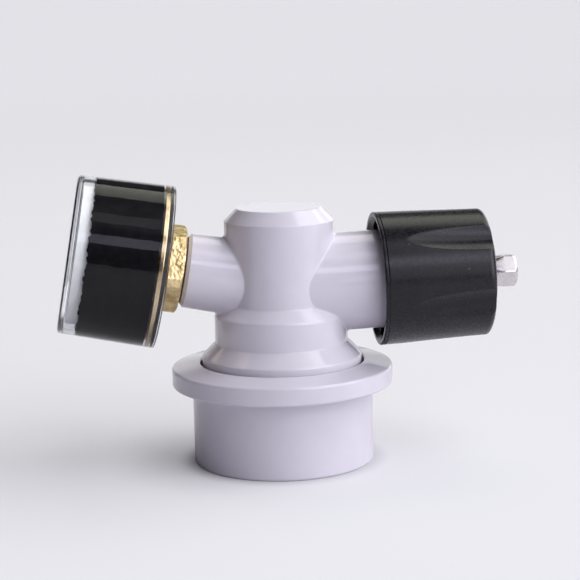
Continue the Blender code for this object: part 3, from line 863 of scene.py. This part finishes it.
def make_barrel(name, place, root_r, end_r, end, edge, bore_r, bore_from, root_pole):
    """A hollow barrel with a chamfered edge, whose root is filleted onto the body."""
    local = place.copy()
    local.translation = place.translation / MM
    back = local.inverted()
    slope = (end_r - root_r) / end
    starts, fillet = rolled_fillet(local, root_r, slope)
    shape = bmesh.new()
    rings = [[shape.verts.new((0, 0, root_pole))]]
    rings += [[shape.verts.new(back @ point) for point in ring] for ring in fillet]
    for share in (0.03, 0.2, 0.4, 0.6, 0.8, 0.97):
        ring = []
        for i in range(ROUND):
            along = starts[i] + (end - edge - starts[i]) * share
            x, y = polar(root_r + slope * along, TURN * i / ROUND)
            ring.append(shape.verts.new((x, y, along)))
        rings.append(ring)
    tip = [
        (end_r, end - edge - 0.01),
        (end_r, end - edge, 0.2),
        (end_r - edge, end, 0.2),
        (bore_r, end, 0.15),
        (bore_r, bore_from, 0.3),
        (0, bore_from),
    ]
    for r, z in supported(rounded(tip))[1:]:
        if r < 1e-6:
            break
        rings.append([shape.verts.new((*polar(r, TURN * i / ROUND), z)) for i in range(ROUND)])
    rings.append([shape.verts.new((0, 0, bore_from))])
    for first, second in zip(rings, rings[1:]):
        bridge(shape, first, second)
    return piece(name, shape, place, GREY, "root")


# Release collar


def make_collar():
    """The release collar: skirt, flange, and the land that holds the balls in."""
    outline = [
        (MOUTH_R, 0, 0.2),
        (SKIRT_R, 0, 0.5),
        (SKIRT_R, FLANGE_BOTTOM, 0.35),
        (FLANGE_R, FLANGE_BOTTOM, 0.45),
        (FLANGE_R, FLANGE_EDGE_TOP, 0.5),
        (COLLAR_BORE_R, COLLAR_TOP, 0.3),
        (COLLAR_BORE_R, LAND_TO, 0.1),
        (LAND_R, LAND_TO, 0.15),
        (LAND_R, LAND_FROM, 0.12),
        (RELEASE_R, LAND_FROM, 0.1),
        (RELEASE_R, STOP_SHOULDER, 0.1),
        (MOUTH_R, STOP_SHOULDER, 0.1),
    ]
    turned("collar_shell", outline, UPRIGHT, GREY, "collar", ["release_collar"])


# Gauge


def case_outer_r(along):
    """The clear case's outer radius, which tapers to the front."""
    share = (along - CASE_BACK) / (CASE_FRONT - CASE_BACK)
    return CASE_BACK_R + (CASE_FRONT_R - CASE_BACK_R) * share


def hex_radius(half_flats, first_corner, angle):
    """Distance from the axis to a hexagon's edge."""
    away = (angle - first_corner) % (TURN / 6) - TURN / 12
    return half_flats / math.cos(away)


def make_stem():
    """Brass gauge stem: thread end, chamfered hexagon, neck and the block that takes the tube."""
    outline = [
        (0, STEM_FROM),
        (STEM_R, STEM_FROM, 0.3),
        (STEM_R, GAUGE_END, 0.1),
        (STEM_GROOVE_R, GAUGE_END + 0.1, 0.05),
        (STEM_GROOVE_R, HEX_BACK, 0.05),
        (HEX_FLATS / 2 + 0.2, HEX_BACK, 0.15),
        (HEX_CORNER_R, HEX_BACK + 0.35, 0.3),
        (HEX_CORNER_R, HEX_FRONT, 0.2),
        (STEM_NECK_R, HEX_FRONT, 0.1),
        (STEM_NECK_R, STEM_FRONT, 0.1),
        (0, STEM_FRONT),
    ]

    def flats(r, along, angle):
        waves = math.sin(9 * angle + 2.1 * along) * math.sin(23 * angle + 1.3)
        edge_r = hex_radius(HEX_FLATS / 2, HEX_FIRST_CORNER, angle) + HEX_ROUGHNESS * waves
        return min(r, edge_r) if r > STEM_R + 0.05 else r

    stem = lathe(supported(rounded(outline)), WITH_FLATS, flats, HEX_FIRST_CORNER)
    tip = circle(BLOCK_TIP_R, 32, *polar(BLOCK_REACH, BLOCK_ANGLE))
    block = prism(hull_outline(circle(BLOCK_HUB_R, SMALL) + tip), BLOCK_FROM, BLOCK_TO)
    shape = joined(stem, block)
    piece("gauge_stem", shape, GAUGE, BRASS, "root", ["gauge_socket"])


def make_port_ring():
    """The rubber ring between the barrel and the hexagon."""
    (inner, outer), (low, high) = PORT_RING_R, PORT_RING
    corners = ((inner, low), (outer, low), (outer, high), (inner, high))
    shape = lathe(rounded([(*corner, 0.1) for corner in corners]), MEDIUM)
    piece("port_ring", shape, GAUGE, RUBBER, "root", ["port_seal"])


def hull_outline(points):
    """The convex outline round a set of points, anticlockwise."""
    ordered = sorted(set(points))

    def half(run):
        chain = []
        for x, y in run:
            while len(chain) > 1:
                (ax, ay), (bx, by) = chain[-2], chain[-1]
                if (bx - ax) * (y - ay) - (by - ay) * (x - ax) > 1e-9:
                    break
                chain.pop()
            chain.append((x, y))
        return chain[:-1]

    return half(ordered) + half(ordered[::-1])


def ragged_edge(angle):
    """How far the sleeve's torn front edge falls back at this angle."""
    tears = math.sin(31 * angle) * math.sin(17 * angle + 0.9) + 0.5 * math.sin(71 * angle + 2.0)
    return TEAR_DEPTH / 2 * (1 + max(-1.0, min(1.0, tears)))


def make_case():
    """The clear cup over the dial."""
    window_back = CASE_FRONT - WINDOW
    cup = [
        (case_outer_r(CASE_BACK) - CASE_WALL, CASE_BACK, 0.2),
        (CASE_BACK_R, CASE_BACK, 0.2),
        (CASE_FRONT_R, CASE_FRONT, 0.7),
        (0, CASE_FRONT),
        (0, window_back),
        (case_outer_r(window_back) - CASE_WALL, window_back, 0.35),
    ]
    turned("case_cup", cup, GAUGE, CLEAR, "root", ["gauge_case"])


def make_back_plate():
    """The gilt plate that closes the cup, and the gasket behind its rim."""
    plate_r = case_outer_r(PLATE_FRONT) - CASE_WALL + PLATE_OVERLAP
    dished = PLATE_BACK + PLATE_DISHING
    plate = [
        (PLATE_HOLE_R, PLATE_BACK, 0.1),
        (6.0, PLATE_BACK, 0.3),
        (6.4, dished, 0.3),
        (plate_r - 1.2, dished, 0.3),
        (plate_r - 0.8, PLATE_BACK, 0.3),
        (plate_r, PLATE_BACK, 0.25),
        (plate_r, PLATE_FRONT, 0.1),
        (PLATE_HOLE_R, PLATE_FRONT, 0.1),
    ]
    turned("back_disc", plate, GAUGE, GILT, "root", ["gauge_back_plate"])
    gasket = [
        (plate_r - GASKET_WIDTH, GASKET_BACK, 0.1),
        (plate_r, GASKET_BACK, 0.1),
        (plate_r, PLATE_BACK),
        (plate_r - GASKET_WIDTH, PLATE_BACK),
    ]
    turned("plate_gasket", gasket, GAUGE, RUBBER, "root")


def make_sleeve():
    """The black sleeve in the cup. Its front edge is torn, and the tears fade out behind it."""
    inset = CASE_WALL - SLEEVE_OVERLAP
    back_r, front_r = case_outer_r(SLEEVE_FROM) - inset, case_outer_r(SLEEVE_TO) - inset
    sleeve = [
        (back_r - SLEEVE_THICKNESS, SLEEVE_FROM),
        (back_r, SLEEVE_FROM),
        (front_r, SLEEVE_TO),
        (front_r - SLEEVE_THICKNESS, SLEEVE_TO),
    ]
    shape = lathe(supported(sleeve), ROUND)
    for point in shape.verts:
        share = max(0.0, 1 + (point.co.z - SLEEVE_TO) / TEAR_REACH)
        point.co.z -= share * ragged_edge(math.atan2(point.co.y, point.co.x))
    piece("black_sleeve", shape, GAUGE, GLOSS, "root", ["case_band"])


def make_dial():
    """The white dish that carries the scale."""
    rim_r = DIAL_R - DIAL_RIM
    dish = [
        (DIAL_HOLE_R, DIAL_BACK, 0.05),
        (DIAL_R, DIAL_BACK, 0.3),
        (DIAL_R, DIAL_RIM_FRONT, 0.15),
        (rim_r, DIAL_RIM_FRONT, 0.15),
        (rim_r, DIAL_FACE, 0.35),
        (DIAL_HOLE_R, DIAL_FACE, 0.05),
    ]
    turned("dial_dish", dish, GAUGE, ENAMEL, "root", ["gauge_dial"])


def make_dial_bolts():
    """The two round-headed screws that hold the dial."""
    outline = [
        (0, SCREW_FROM),
        (SCREW_R, SCREW_FROM),
        (SCREW_R, SCREW_HEAD_FROM),
        (SCREW_HEAD_R, SCREW_HEAD_FROM, 0.08),
        (SCREW_HEAD_R - 0.1, SCREW_HEAD_TO, 0.12),
        (0, SCREW_HEAD_TO),
    ]
    for index, x in enumerate((-SCREW_X, SCREW_X)):
        shape = placed(lathe(rounded(outline), SMALL), Matrix.Translation((x, 0, 0)))
        piece(
            f"dial_bolt_{index + 1}", shape, GAUGE, TURNED, "root",
            [f"dial_screw_{index + 1}"],
        )


def scale_angle(share):
    """The angle on the dial at a share of the scale."""
    return SCALE_START - SCALE_SWEEP * share


def make_scale():
    """Scale marks and their arc, printed as a thin film on the dial."""
    film = (DIAL_FACE + PRINT_LOW, DIAL_FACE + PRINT_HIGH)
    shapes = []
    for i in range(SCALE_DIVISIONS + 1):
        start, half = SHORT_MARK_FROM, SHORT_MARK_HALF
        if i % NUMBER_EVERY == 0:
            start, half = LONG_MARK_FROM, LONG_MARK_HALF
        angle = scale_angle(i / SCALE_DIVISIONS)
        out, side = polar(1, angle), polar(1, angle + math.pi / 2)
        corners = ((start, -half), (MARK_TO, -half), (MARK_TO, half), (start, half))
        shapes.append(prism([tuple(out * r + side * w) for r, w in corners], *film))
    angles = [scale_angle(i / SCALE_ARC_STEPS) for i in range(SCALE_ARC_STEPS + 1)]
    outer_r, inner_r = SCALE_ARC_R
    band = [polar(outer_r, angle) for angle in angles]
    band += [polar(inner_r, angle) for angle in reversed(angles)]
    shapes.append(prism([tuple(point) for point in band], *film))
    piece("scale_marks", joined(*shapes), GAUGE, INK, "root")


def make_numbers():
    """The generic numbers beside the long marks."""
    for index in range(SCALE_DIVISIONS // NUMBER_EVERY + 1):
        curve = bpy.data.curves.new(f"scale_number_{index}", "FONT")
        curve.body = str(index)
        curve.size = NUMBER_HEIGHT * MM
        curve.align_x = "CENTER"
        curve.align_y = "CENTER"
        curve.extrude = NUMBER_HALF_DEPTH * MM
        curve.resolution_u = 6
        curve.materials.append(INK)
        number = added(f"scale_number_{index}", curve)
        spot = polar(NUMBER_R, scale_angle(index * NUMBER_EVERY / SCALE_DIVISIONS))
        middle = Vector((*spot, DIAL_FACE + NUMBER_MIDDLE)) * MM
        number.matrix_world = GAUGE @ Matrix.Translation(middle)
        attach(number, "root")


def finish_kept_pieces():
    """Pieces that keep their CAD shape get a finish of their own."""
    kept = {
        BRASS: [
            "bourdon_tube", "tube_tip_block", "movement_rear_plate", "movement_front_plate",
            "movement_pillar_1", "movement_pillar_2", "pinion", "sector_gear",
        ],
        INK: ["pointer"],
        TURNED: ["tip_link", "spring_seat"],
        WIRE: ["hairspring", "collar_stop_ring"],
        RUBBER: ["poppet_seal", "relief_seal"],
        BLACK: ["relief_piston"],
    }
    for material, names in kept.items():
        for name in names:
            mesh = frame["nodes"][name].data
            mesh.materials.clear()
            mesh.materials.append(material)


# Springs


def coil(radius, wire_r, turns, low, high, part):
    """A share of a helical spring whose first and last turn lie flat."""
    bottom = low + wire_r
    lift = 2 * wire_r * 1.05
    climb_height = high - low - 2 * wire_r - 2 * lift
    steps = round(turns * STEPS_PER_TURN * (part[1] - part[0]))
    points = []
    for i in range(steps + 1):
        turn = turns * (part[0] + (part[1] - part[0]) * i / steps)
        climb = min(max((turn - FLAT_TURNS) / (turns - 2 * FLAT_TURNS), 0.0), 1.0)
        z = bottom + climb_height * climb + lift * min(turn / FLAT_TURNS, 1.0)
        z += lift * max((turn - turns + FLAT_TURNS) / FLAT_TURNS, 0.0)
        out = Vector((math.cos(TURN * turn), math.sin(TURN * turn), 0))
        points.append((out * radius + Vector((0, 0, z)), out, Vector((0, 0, 1))))
    return swept(points, circle(wire_r, 16))


def make_spring(name, node, place, sizes, first, second, bend, part=(0.0, 1.0)):
    """A coil left in place. Its two bodies and the two heights between which it would close up are
    passed on, but nothing here makes it close up.
    """
    low, high = (place @ Vector((0, 0, z * MM)) for z in bend)
    bodies = (first, second, low, high)
    piece(name, coil(*sizes, part), place, WIRE, bodies, [node])


def make_springs():
    """The poppet's, the collar's and, in two halves, the one between relief piston and knob."""
    for name, sizes, first, margin in (
        ("poppet", POPPET_COIL, "poppet_body", 1.2),
        ("collar", COLLAR_COIL, "collar", 1.1),
    ):
        bend = (sizes[-2] + margin, sizes[-1] - margin)
        make_spring(f"{name}_coil", f"{name}_spring", UPRIGHT, sizes, first, "root", bend)
    low, high = RELIEF_COIL[-2:]
    middle = (low + high) / 2
    halves = (
        ("relief_coil_inner", "vent", "root", (low + 0.9, middle), (0.0, 0.5)),
        ("relief_coil_outer", "root", "adjuster", (middle, high - 0.9), (0.5, 1.0)),
    )
    for name, first, second, bend, part in halves:
        make_spring(name, "relief_spring", RELIEF, RELIEF_COIL, first, second, bend, part)


# Valve and balls in the socket


def make_valve():
    """The valve's seat and its poppet."""
    seat = [
        (SEAT_HOLE_R, SOCKET_ROOF + 0.1, 0.1),
        (SEAT_R, SOCKET_ROOF + 0.1, 0.15),
        (SEAT_R, SEAT_TOP, 0.2),
        (SEAT_HOLE_R, SEAT_TOP, 0.2),
    ]
    turned("seat_ring", seat, UPRIGHT, BRASS, "root", ["valve_seat"], MEDIUM)
    stem = [
        (0, POPPET_FOOT),
        (POPPET_FOOT_R, POPPET_FOOT, 0.3),
        (POPPET_FOOT_R, POPPET_FOOT + 1.5, 0.4),
        (POPPET_STEM_R, POPPET_FOOT + 1.9, 0.2),
        (POPPET_STEM_R, SEAT_TOP, 0.2),
        (POPPET_FOOT_R, SEAT_TOP + 0.3, 0.1),
        (POPPET_FOOT_R, POPPET_HEAD_FROM, 0.1),
        (POPPET_HEAD_R, POPPET_HEAD_FROM, 0.1),
        (POPPET_HEAD_R, POPPET_HEAD_TO, 0.4),
        (POPPET_GUIDE_R, POPPET_HEAD_TO, 0.1),
        (POPPET_GUIDE_R, POPPET_TOP, 0.3),
        (0, POPPET_TOP),
    ]
    turned(
        "poppet_stem", stem, UPRIGHT, TURNED, "poppet_body", ["poppet"], MEDIUM
    )


def make_balls():
    """The locking balls, each as large as its CAD box is high."""
    for index in range(1, BALL_COUNT + 1):
        low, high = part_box(f"locking_ball_{index}")
        middle = (low + high) / 2
        radius = (high.z - low.z) / 2
        shape = bmesh.new()
        bmesh.ops.create_icosphere(shape, subdivisions=5, radius=radius / MM)
        place = Matrix.Translation(middle)
        piece(
            f"steel_ball_{index}", shape, place, POLISHED, f"ball_{index}",
            [f"locking_ball_{index}"],
        )


# Knob and pull pin


def flute_cut(along, angle):
    """How deep the nearest flute is at a height along the knob and an angle round it."""
    if along <= FLUTE_START:
        return 0.0
    share = min((along - FLUTE_START) / (KNOB_END - FLUTE_START), 1.0)
    fullness = 1 - (1 - share) ** 2
    spacing = TURN / FLUTES
    away = (angle - FLUTE_PHASE + spacing / 2) % spacing - spacing / 2
    width = FLUTE_HALF * math.sqrt(fullness)
    return FLUTE_DEPTH * fullness * max(0.0, 1 - (away / width) ** 2)


def rib_rise(angle):
    """How far the nearest inner rib stands in from the recess wall, 0 to 1."""
    spacing = TURN / FLUTES
    away = abs((angle - FLUTE_PHASE) % spacing - spacing / 2) * KNOB_RECESS_R
    return min(max((RIB_HALF - away) / RIB_SLOPE, 0.0), 1.0)


def smooth_least(first, second, softness, rounding=1.0):
    """The smaller of two numbers, blended where they're nearly equal."""
    share = min(max(0.5 + 0.5 * (second - first) / softness, 0.0), 1.0)
    return second + (first - second) * share - softness * share * (1 - share) * rounding


def make_knob():
    """The fluted cup that screws along the barrel."""
    thread_from, thread_to = KNOB_THREAD
    corners = [
        (KNOB_RECESS_R + 0.55, KNOB_START, 0.2),
        (KNOB_MOUTH_R, KNOB_START, 0.4),
        (KNOB_MOUTH_R, KNOB_START + 0.5, 0.08),
        (KNOB_MOUTH_R - 0.14, KNOB_START + 0.6, 0.08),
        (KNOB_MOUTH_R - 0.01, KNOB_START + 0.78, 0.08),
        (KNOB_END_R, KNOB_END, 1.2),
        (KNOB_HOLE_R, KNOB_END, 0.35),
        (KNOB_HOLE_R, KNOB_HUB_FROM, 0.1),
        (KNOB_HUB_R, KNOB_HUB_FROM, 0.1),
        (KNOB_HUB_R, thread_to, 0.2),
        (KNOB_THREAD_R, thread_to, 0.3),
        (KNOB_THREAD_R, thread_from, 0.2),
        (KNOB_RECESS_R, thread_from - 0.6, 0.2),
        (KNOB_RECESS_R, RIB_FROM + 0.1),
        (KNOB_RECESS_R, RIB_FROM),
    ]
    outline = supported(rounded(corners, math.radians(8)), longest=0.45)

    def fluted(r, along, angle):
        cut = flute_cut(along, angle)
        if cut and r > KNOB_THREAD_R + 0.5:
            narrowing = (KNOB_END_R - KNOB_MOUTH_R) * (along - KNOB_START) / KNOB_LENGTH
            floor_r = KNOB_MOUTH_R + narrowing - cut
            return smooth_least(r, floor_r, min(cut, FLUTE_SOFTNESS), min(cut, 1.0))
        if abs(r - KNOB_RECESS_R) < 1e-3 and RIB_FROM + 0.05 < along < RIB_TO:
            return r - RIB_HEIGHT * rib_rise(angle)
        return r

    shape = lathe(outline, WITH_FLUTES, fluted)
    piece(
        "fluted_knob", shape, RELIEF, BLACK, "knob_body", ["knob"],
        crease=KNOB_CREASE,
    )


def make_pin():
    """The pull pin and its small hexagonal head."""
    outline = [
        (0, PIN_BACK),
        (PIN_R, PIN_BACK, 0.2),
        (PIN_R, PIN_NECK_FROM - 0.8, 0.4),
        (PIN_NECK_R, PIN_NECK_FROM, 0.3),
        (PIN_NECK_R, PIN_HEAD_FROM - 0.1, 0.1),
        (PIN_HEAD_FLAT - 0.02, PIN_HEAD_FROM + 0.2, 0.1),
        (PIN_HEAD_FLAT, PIN_HEAD_FROM + 1.3, 0.1),
        (PIN_HEAD_R, PIN_HEAD_FROM + 2.9, 0.3),
        (PIN_HEAD_R, PIN_TIP - PIN_HEAD_CHAMFER, 0.3),
        (PIN_HEAD_R - PIN_HEAD_CHAMFER, PIN_TIP, 0.4),
        (0, PIN_TIP),
    ]

    def flats(r, along, angle):
        edge_r = hex_radius(PIN_HEAD_FLAT, PIN_HEAD_CORNER, angle)
        return smooth_least(r, edge_r, PIN_HEAD_SOFTNESS) if along > PIN_HEAD_FROM else r

    shape = lathe(supported(rounded(outline)), WITH_FLATS, flats, PIN_HEAD_CORNER)
    piece("pin_rod", shape, RELIEF, POLISHED, "vent", ["pull_pin"])


# Studio


def hung(name, lamp, aim):
    """A lamp's object, turned to shine along a direction."""
    holder = added(name, lamp)
    holder.rotation_euler = aim.to_track_quat("-Z", "Y").to_euler()
    return holder


def area_light(name, place, target, size, radiance, colour):
    """A rectangular softbox. Its power follows from the radiance wanted."""
    lamp = bpy.data.lights.new(name, "AREA")
    lamp.shape = "RECTANGLE"
    lamp.size, lamp.size_y = size
    lamp.energy = radiance * math.pi * size[0] * size[1]
    lamp.color = colour
    hung(name, lamp, Vector(target) - Vector(place)).location = place


def soft_sun(name, azimuth, elevation, strength, matt_only=False):
    """A round soft source far away. Azimuth 0 is in front, and 90 is on the right."""
    lamp = bpy.data.lights.new(name, "SUN")
    lamp.energy = strength
    lamp.angle = SUN_SPREAD
    azimuth, elevation = math.radians(azimuth), math.radians(elevation)
    level = math.cos(elevation)
    source = Vector((math.sin(azimuth) * level, -math.cos(azimuth) * level, math.sin(elevation)))
    hung(name, lamp, -source).visible_glossy = not matt_only


def make_lights():
    """A wide soft key from the right, and panels that show as bands in the glossy pieces."""
    soft_sun("key_low", azimuth=52, elevation=14, strength=1.65)
    soft_sun("key_high", azimuth=70, elevation=45, strength=0.5)
    soft_sun("side_high", azimuth=105, elevation=45, strength=0.9)
    soft_sun("side_low", azimuth=128, elevation=14, strength=0.5)
    soft_sun("fill_top", azimuth=60, elevation=66, strength=0.95, matt_only=True)
    focus = (0, 0, 0.03)
    area_light(
        "softbox", (0.262, -0.43, 0.33), (0.262, -0.18, 0.0), size=(0.33, 0.76),
        radiance=1.35, colour=COOL_WHITE,
    )
    area_light(
        "front_strip", (0.12, -0.485, 0.385), (0.04, 0, 0.03), size=(0.29, 0.14),
        radiance=2.5, colour=(0.84, 0.82, 1.0),
    )
    area_light(
        "top_strip", (0.05, -0.255, 0.63), focus, size=(0.14, 0.17),
        radiance=0.8, colour=COOL_WHITE,
    )
    area_light(
        "back_panel", (0.12, 0.36, 0.63), focus, size=(0.45, 0.34),
        radiance=1.7, colour=(1.0, 1.0, 0.88),
    )


def pale_paper():
    """Matt paper. The camera sees it with a glow that fades towards the object and dims to a
    painted contact shadow round the skirt's foot.
    """
    f = Finish("pale_paper", (0.72, 0.71, 0.76), 0.9)
    f.put("Specular IOR Level", 0.1)
    length = f.node("ShaderNodeVectorMath", operation="LENGTH")
    f.link(f.place, length.inputs[0])
    distance = length.outputs["Value"]
    lift = f.ease(distance, 0.235, 0.335, 0.1, 1.4)
    # Painted contact shadow: the glow drops to 0.3 of itself in a ring just round the skirt's foot
    painted_contact_shadow = f.ease(distance, 0.3, 1.0, 0.0152, 0.0195)
    glow = f.node("ShaderNodeEmission")
    glow.inputs["Color"].default_value = (1.0, 0.99, 1.04, 1)
    f.link(f.math("MULTIPLY", lift, painted_contact_shadow), glow.inputs["Strength"])
    soft = f.node("ShaderNodeBsdfDiffuse")
    soft.inputs["Color"].default_value = (0.54, 0.54, 0.57, 1)
    seen = f.node("ShaderNodeAddShader")
    f.link(soft.outputs["BSDF"], seen.inputs[0])
    f.link(glow.outputs["Emission"], seen.inputs[1])
    f.part_rays("Is Camera Ray", f.shader.outputs["BSDF"], seen.outputs["Shader"], f.output)
    return f.material


def make_floor():
    """A wide flat sheet of the paper."""
    shape = bmesh.new()
    corners = ((-1, -1), (1, -1), (1, 1), (-1, 1))
    shape.faces.new([shape.verts.new((x * FLOOR_HALF, y * FLOOR_HALF, 0)) for x, y in corners])
    mesh = bpy.data.meshes.new("floor")
    shape.to_mesh(mesh)
    shape.free()
    mesh.materials.append(pale_paper())
    floor = added("floor", mesh)


def make_world():
    """A dark studio, pale low behind the object, which the camera sees as one tone."""
    world = bpy.data.worlds.new("studio")
    bpy.context.scene.world = world
    world.use_nodes = True
    nodes = Nodes(world.node_tree)
    lit = nodes.tree.nodes["Background"]
    lit.inputs["Color"].default_value = (0.97, 0.97, 1.0, 1)
    way = nodes.node("ShaderNodeSeparateXYZ")
    nodes.link(nodes.node("ShaderNodeTexCoord").outputs["Generated"], way.inputs[0])
    behind = nodes.ease(way.outputs["Y"], 0.015, 1.05, 0.3, 0.85)
    near_floor = nodes.ease(way.outputs["Z"], 1.0, 0.04, 0.22, 0.38)
    off_left = nodes.ease(way.outputs["X"], 0.2, 1.0, -0.7, -0.1)
    strength = nodes.math("MULTIPLY", nodes.math("MULTIPLY", behind, near_floor), off_left)
    nodes.link(strength, lit.inputs["Strength"])
    seen = nodes.node("ShaderNodeBackground")
    seen.inputs["Color"].default_value = (0.70, 0.70, 0.76, 1)
    lit, seen = lit.outputs["Background"], seen.outputs["Background"]
    nodes.part_rays("Is Camera Ray", lit, seen, nodes.tree.nodes["World Output"])


def make_camera():
    """The photograph's viewpoint: a long lens a little above and left of the object's front."""
    flat = math.cos(CAMERA_TILT)
    ahead = Vector(
        (math.sin(CAMERA_PAN) * flat, math.cos(CAMERA_PAN) * flat, -math.sin(CAMERA_TILT))
    )
    level = Vector((math.cos(CAMERA_PAN), -math.sin(CAMERA_PAN), 0))
    upright = level.cross(ahead)
    side = level * math.cos(CAMERA_ROLL) + upright * math.sin(CAMERA_ROLL)
    up = upright * math.cos(CAMERA_ROLL) - level * math.sin(CAMERA_ROLL)
    data = bpy.data.cameras.new("camera")
    data.lens = CAMERA_LENS
    data.clip_start = CLIP_START
    camera = added("camera", data)
    matrix = Matrix((side, up, -ahead)).transposed().to_4x4()
    matrix.translation = Vector(CAMERA_PLACE) * MM
    camera.matrix_world = matrix
    bpy.context.scene.camera = camera


make_camera()
make_floor()
make_world()
make_lights()
make_body()
make_barrel(
    "gauge_barrel", GAUGE, GAUGE_ROOT_R, GAUGE_END_R, GAUGE_END, GAUGE_EDGE,
    GAUGE_BORE_R, GAUGE_BORE_FROM, GAUGE_POLE,
)
make_barrel(
    "relief_barrel", RELIEF, RELIEF_R, RELIEF_R, RELIEF_END, RELIEF_EDGE,
    RELIEF_BORE_R, RELIEF_BORE_FROM, RELIEF_POLE,
)
make_collar()
make_stem()
make_port_ring()
make_case()
make_back_plate()
make_sleeve()
make_dial()
make_scale()
make_numbers()
make_dial_bolts()
finish_kept_pieces()
make_springs()
make_valve()
make_balls()
make_knob()
make_pin()
bpy.context.scene.view_settings.view_transform = "Standard"
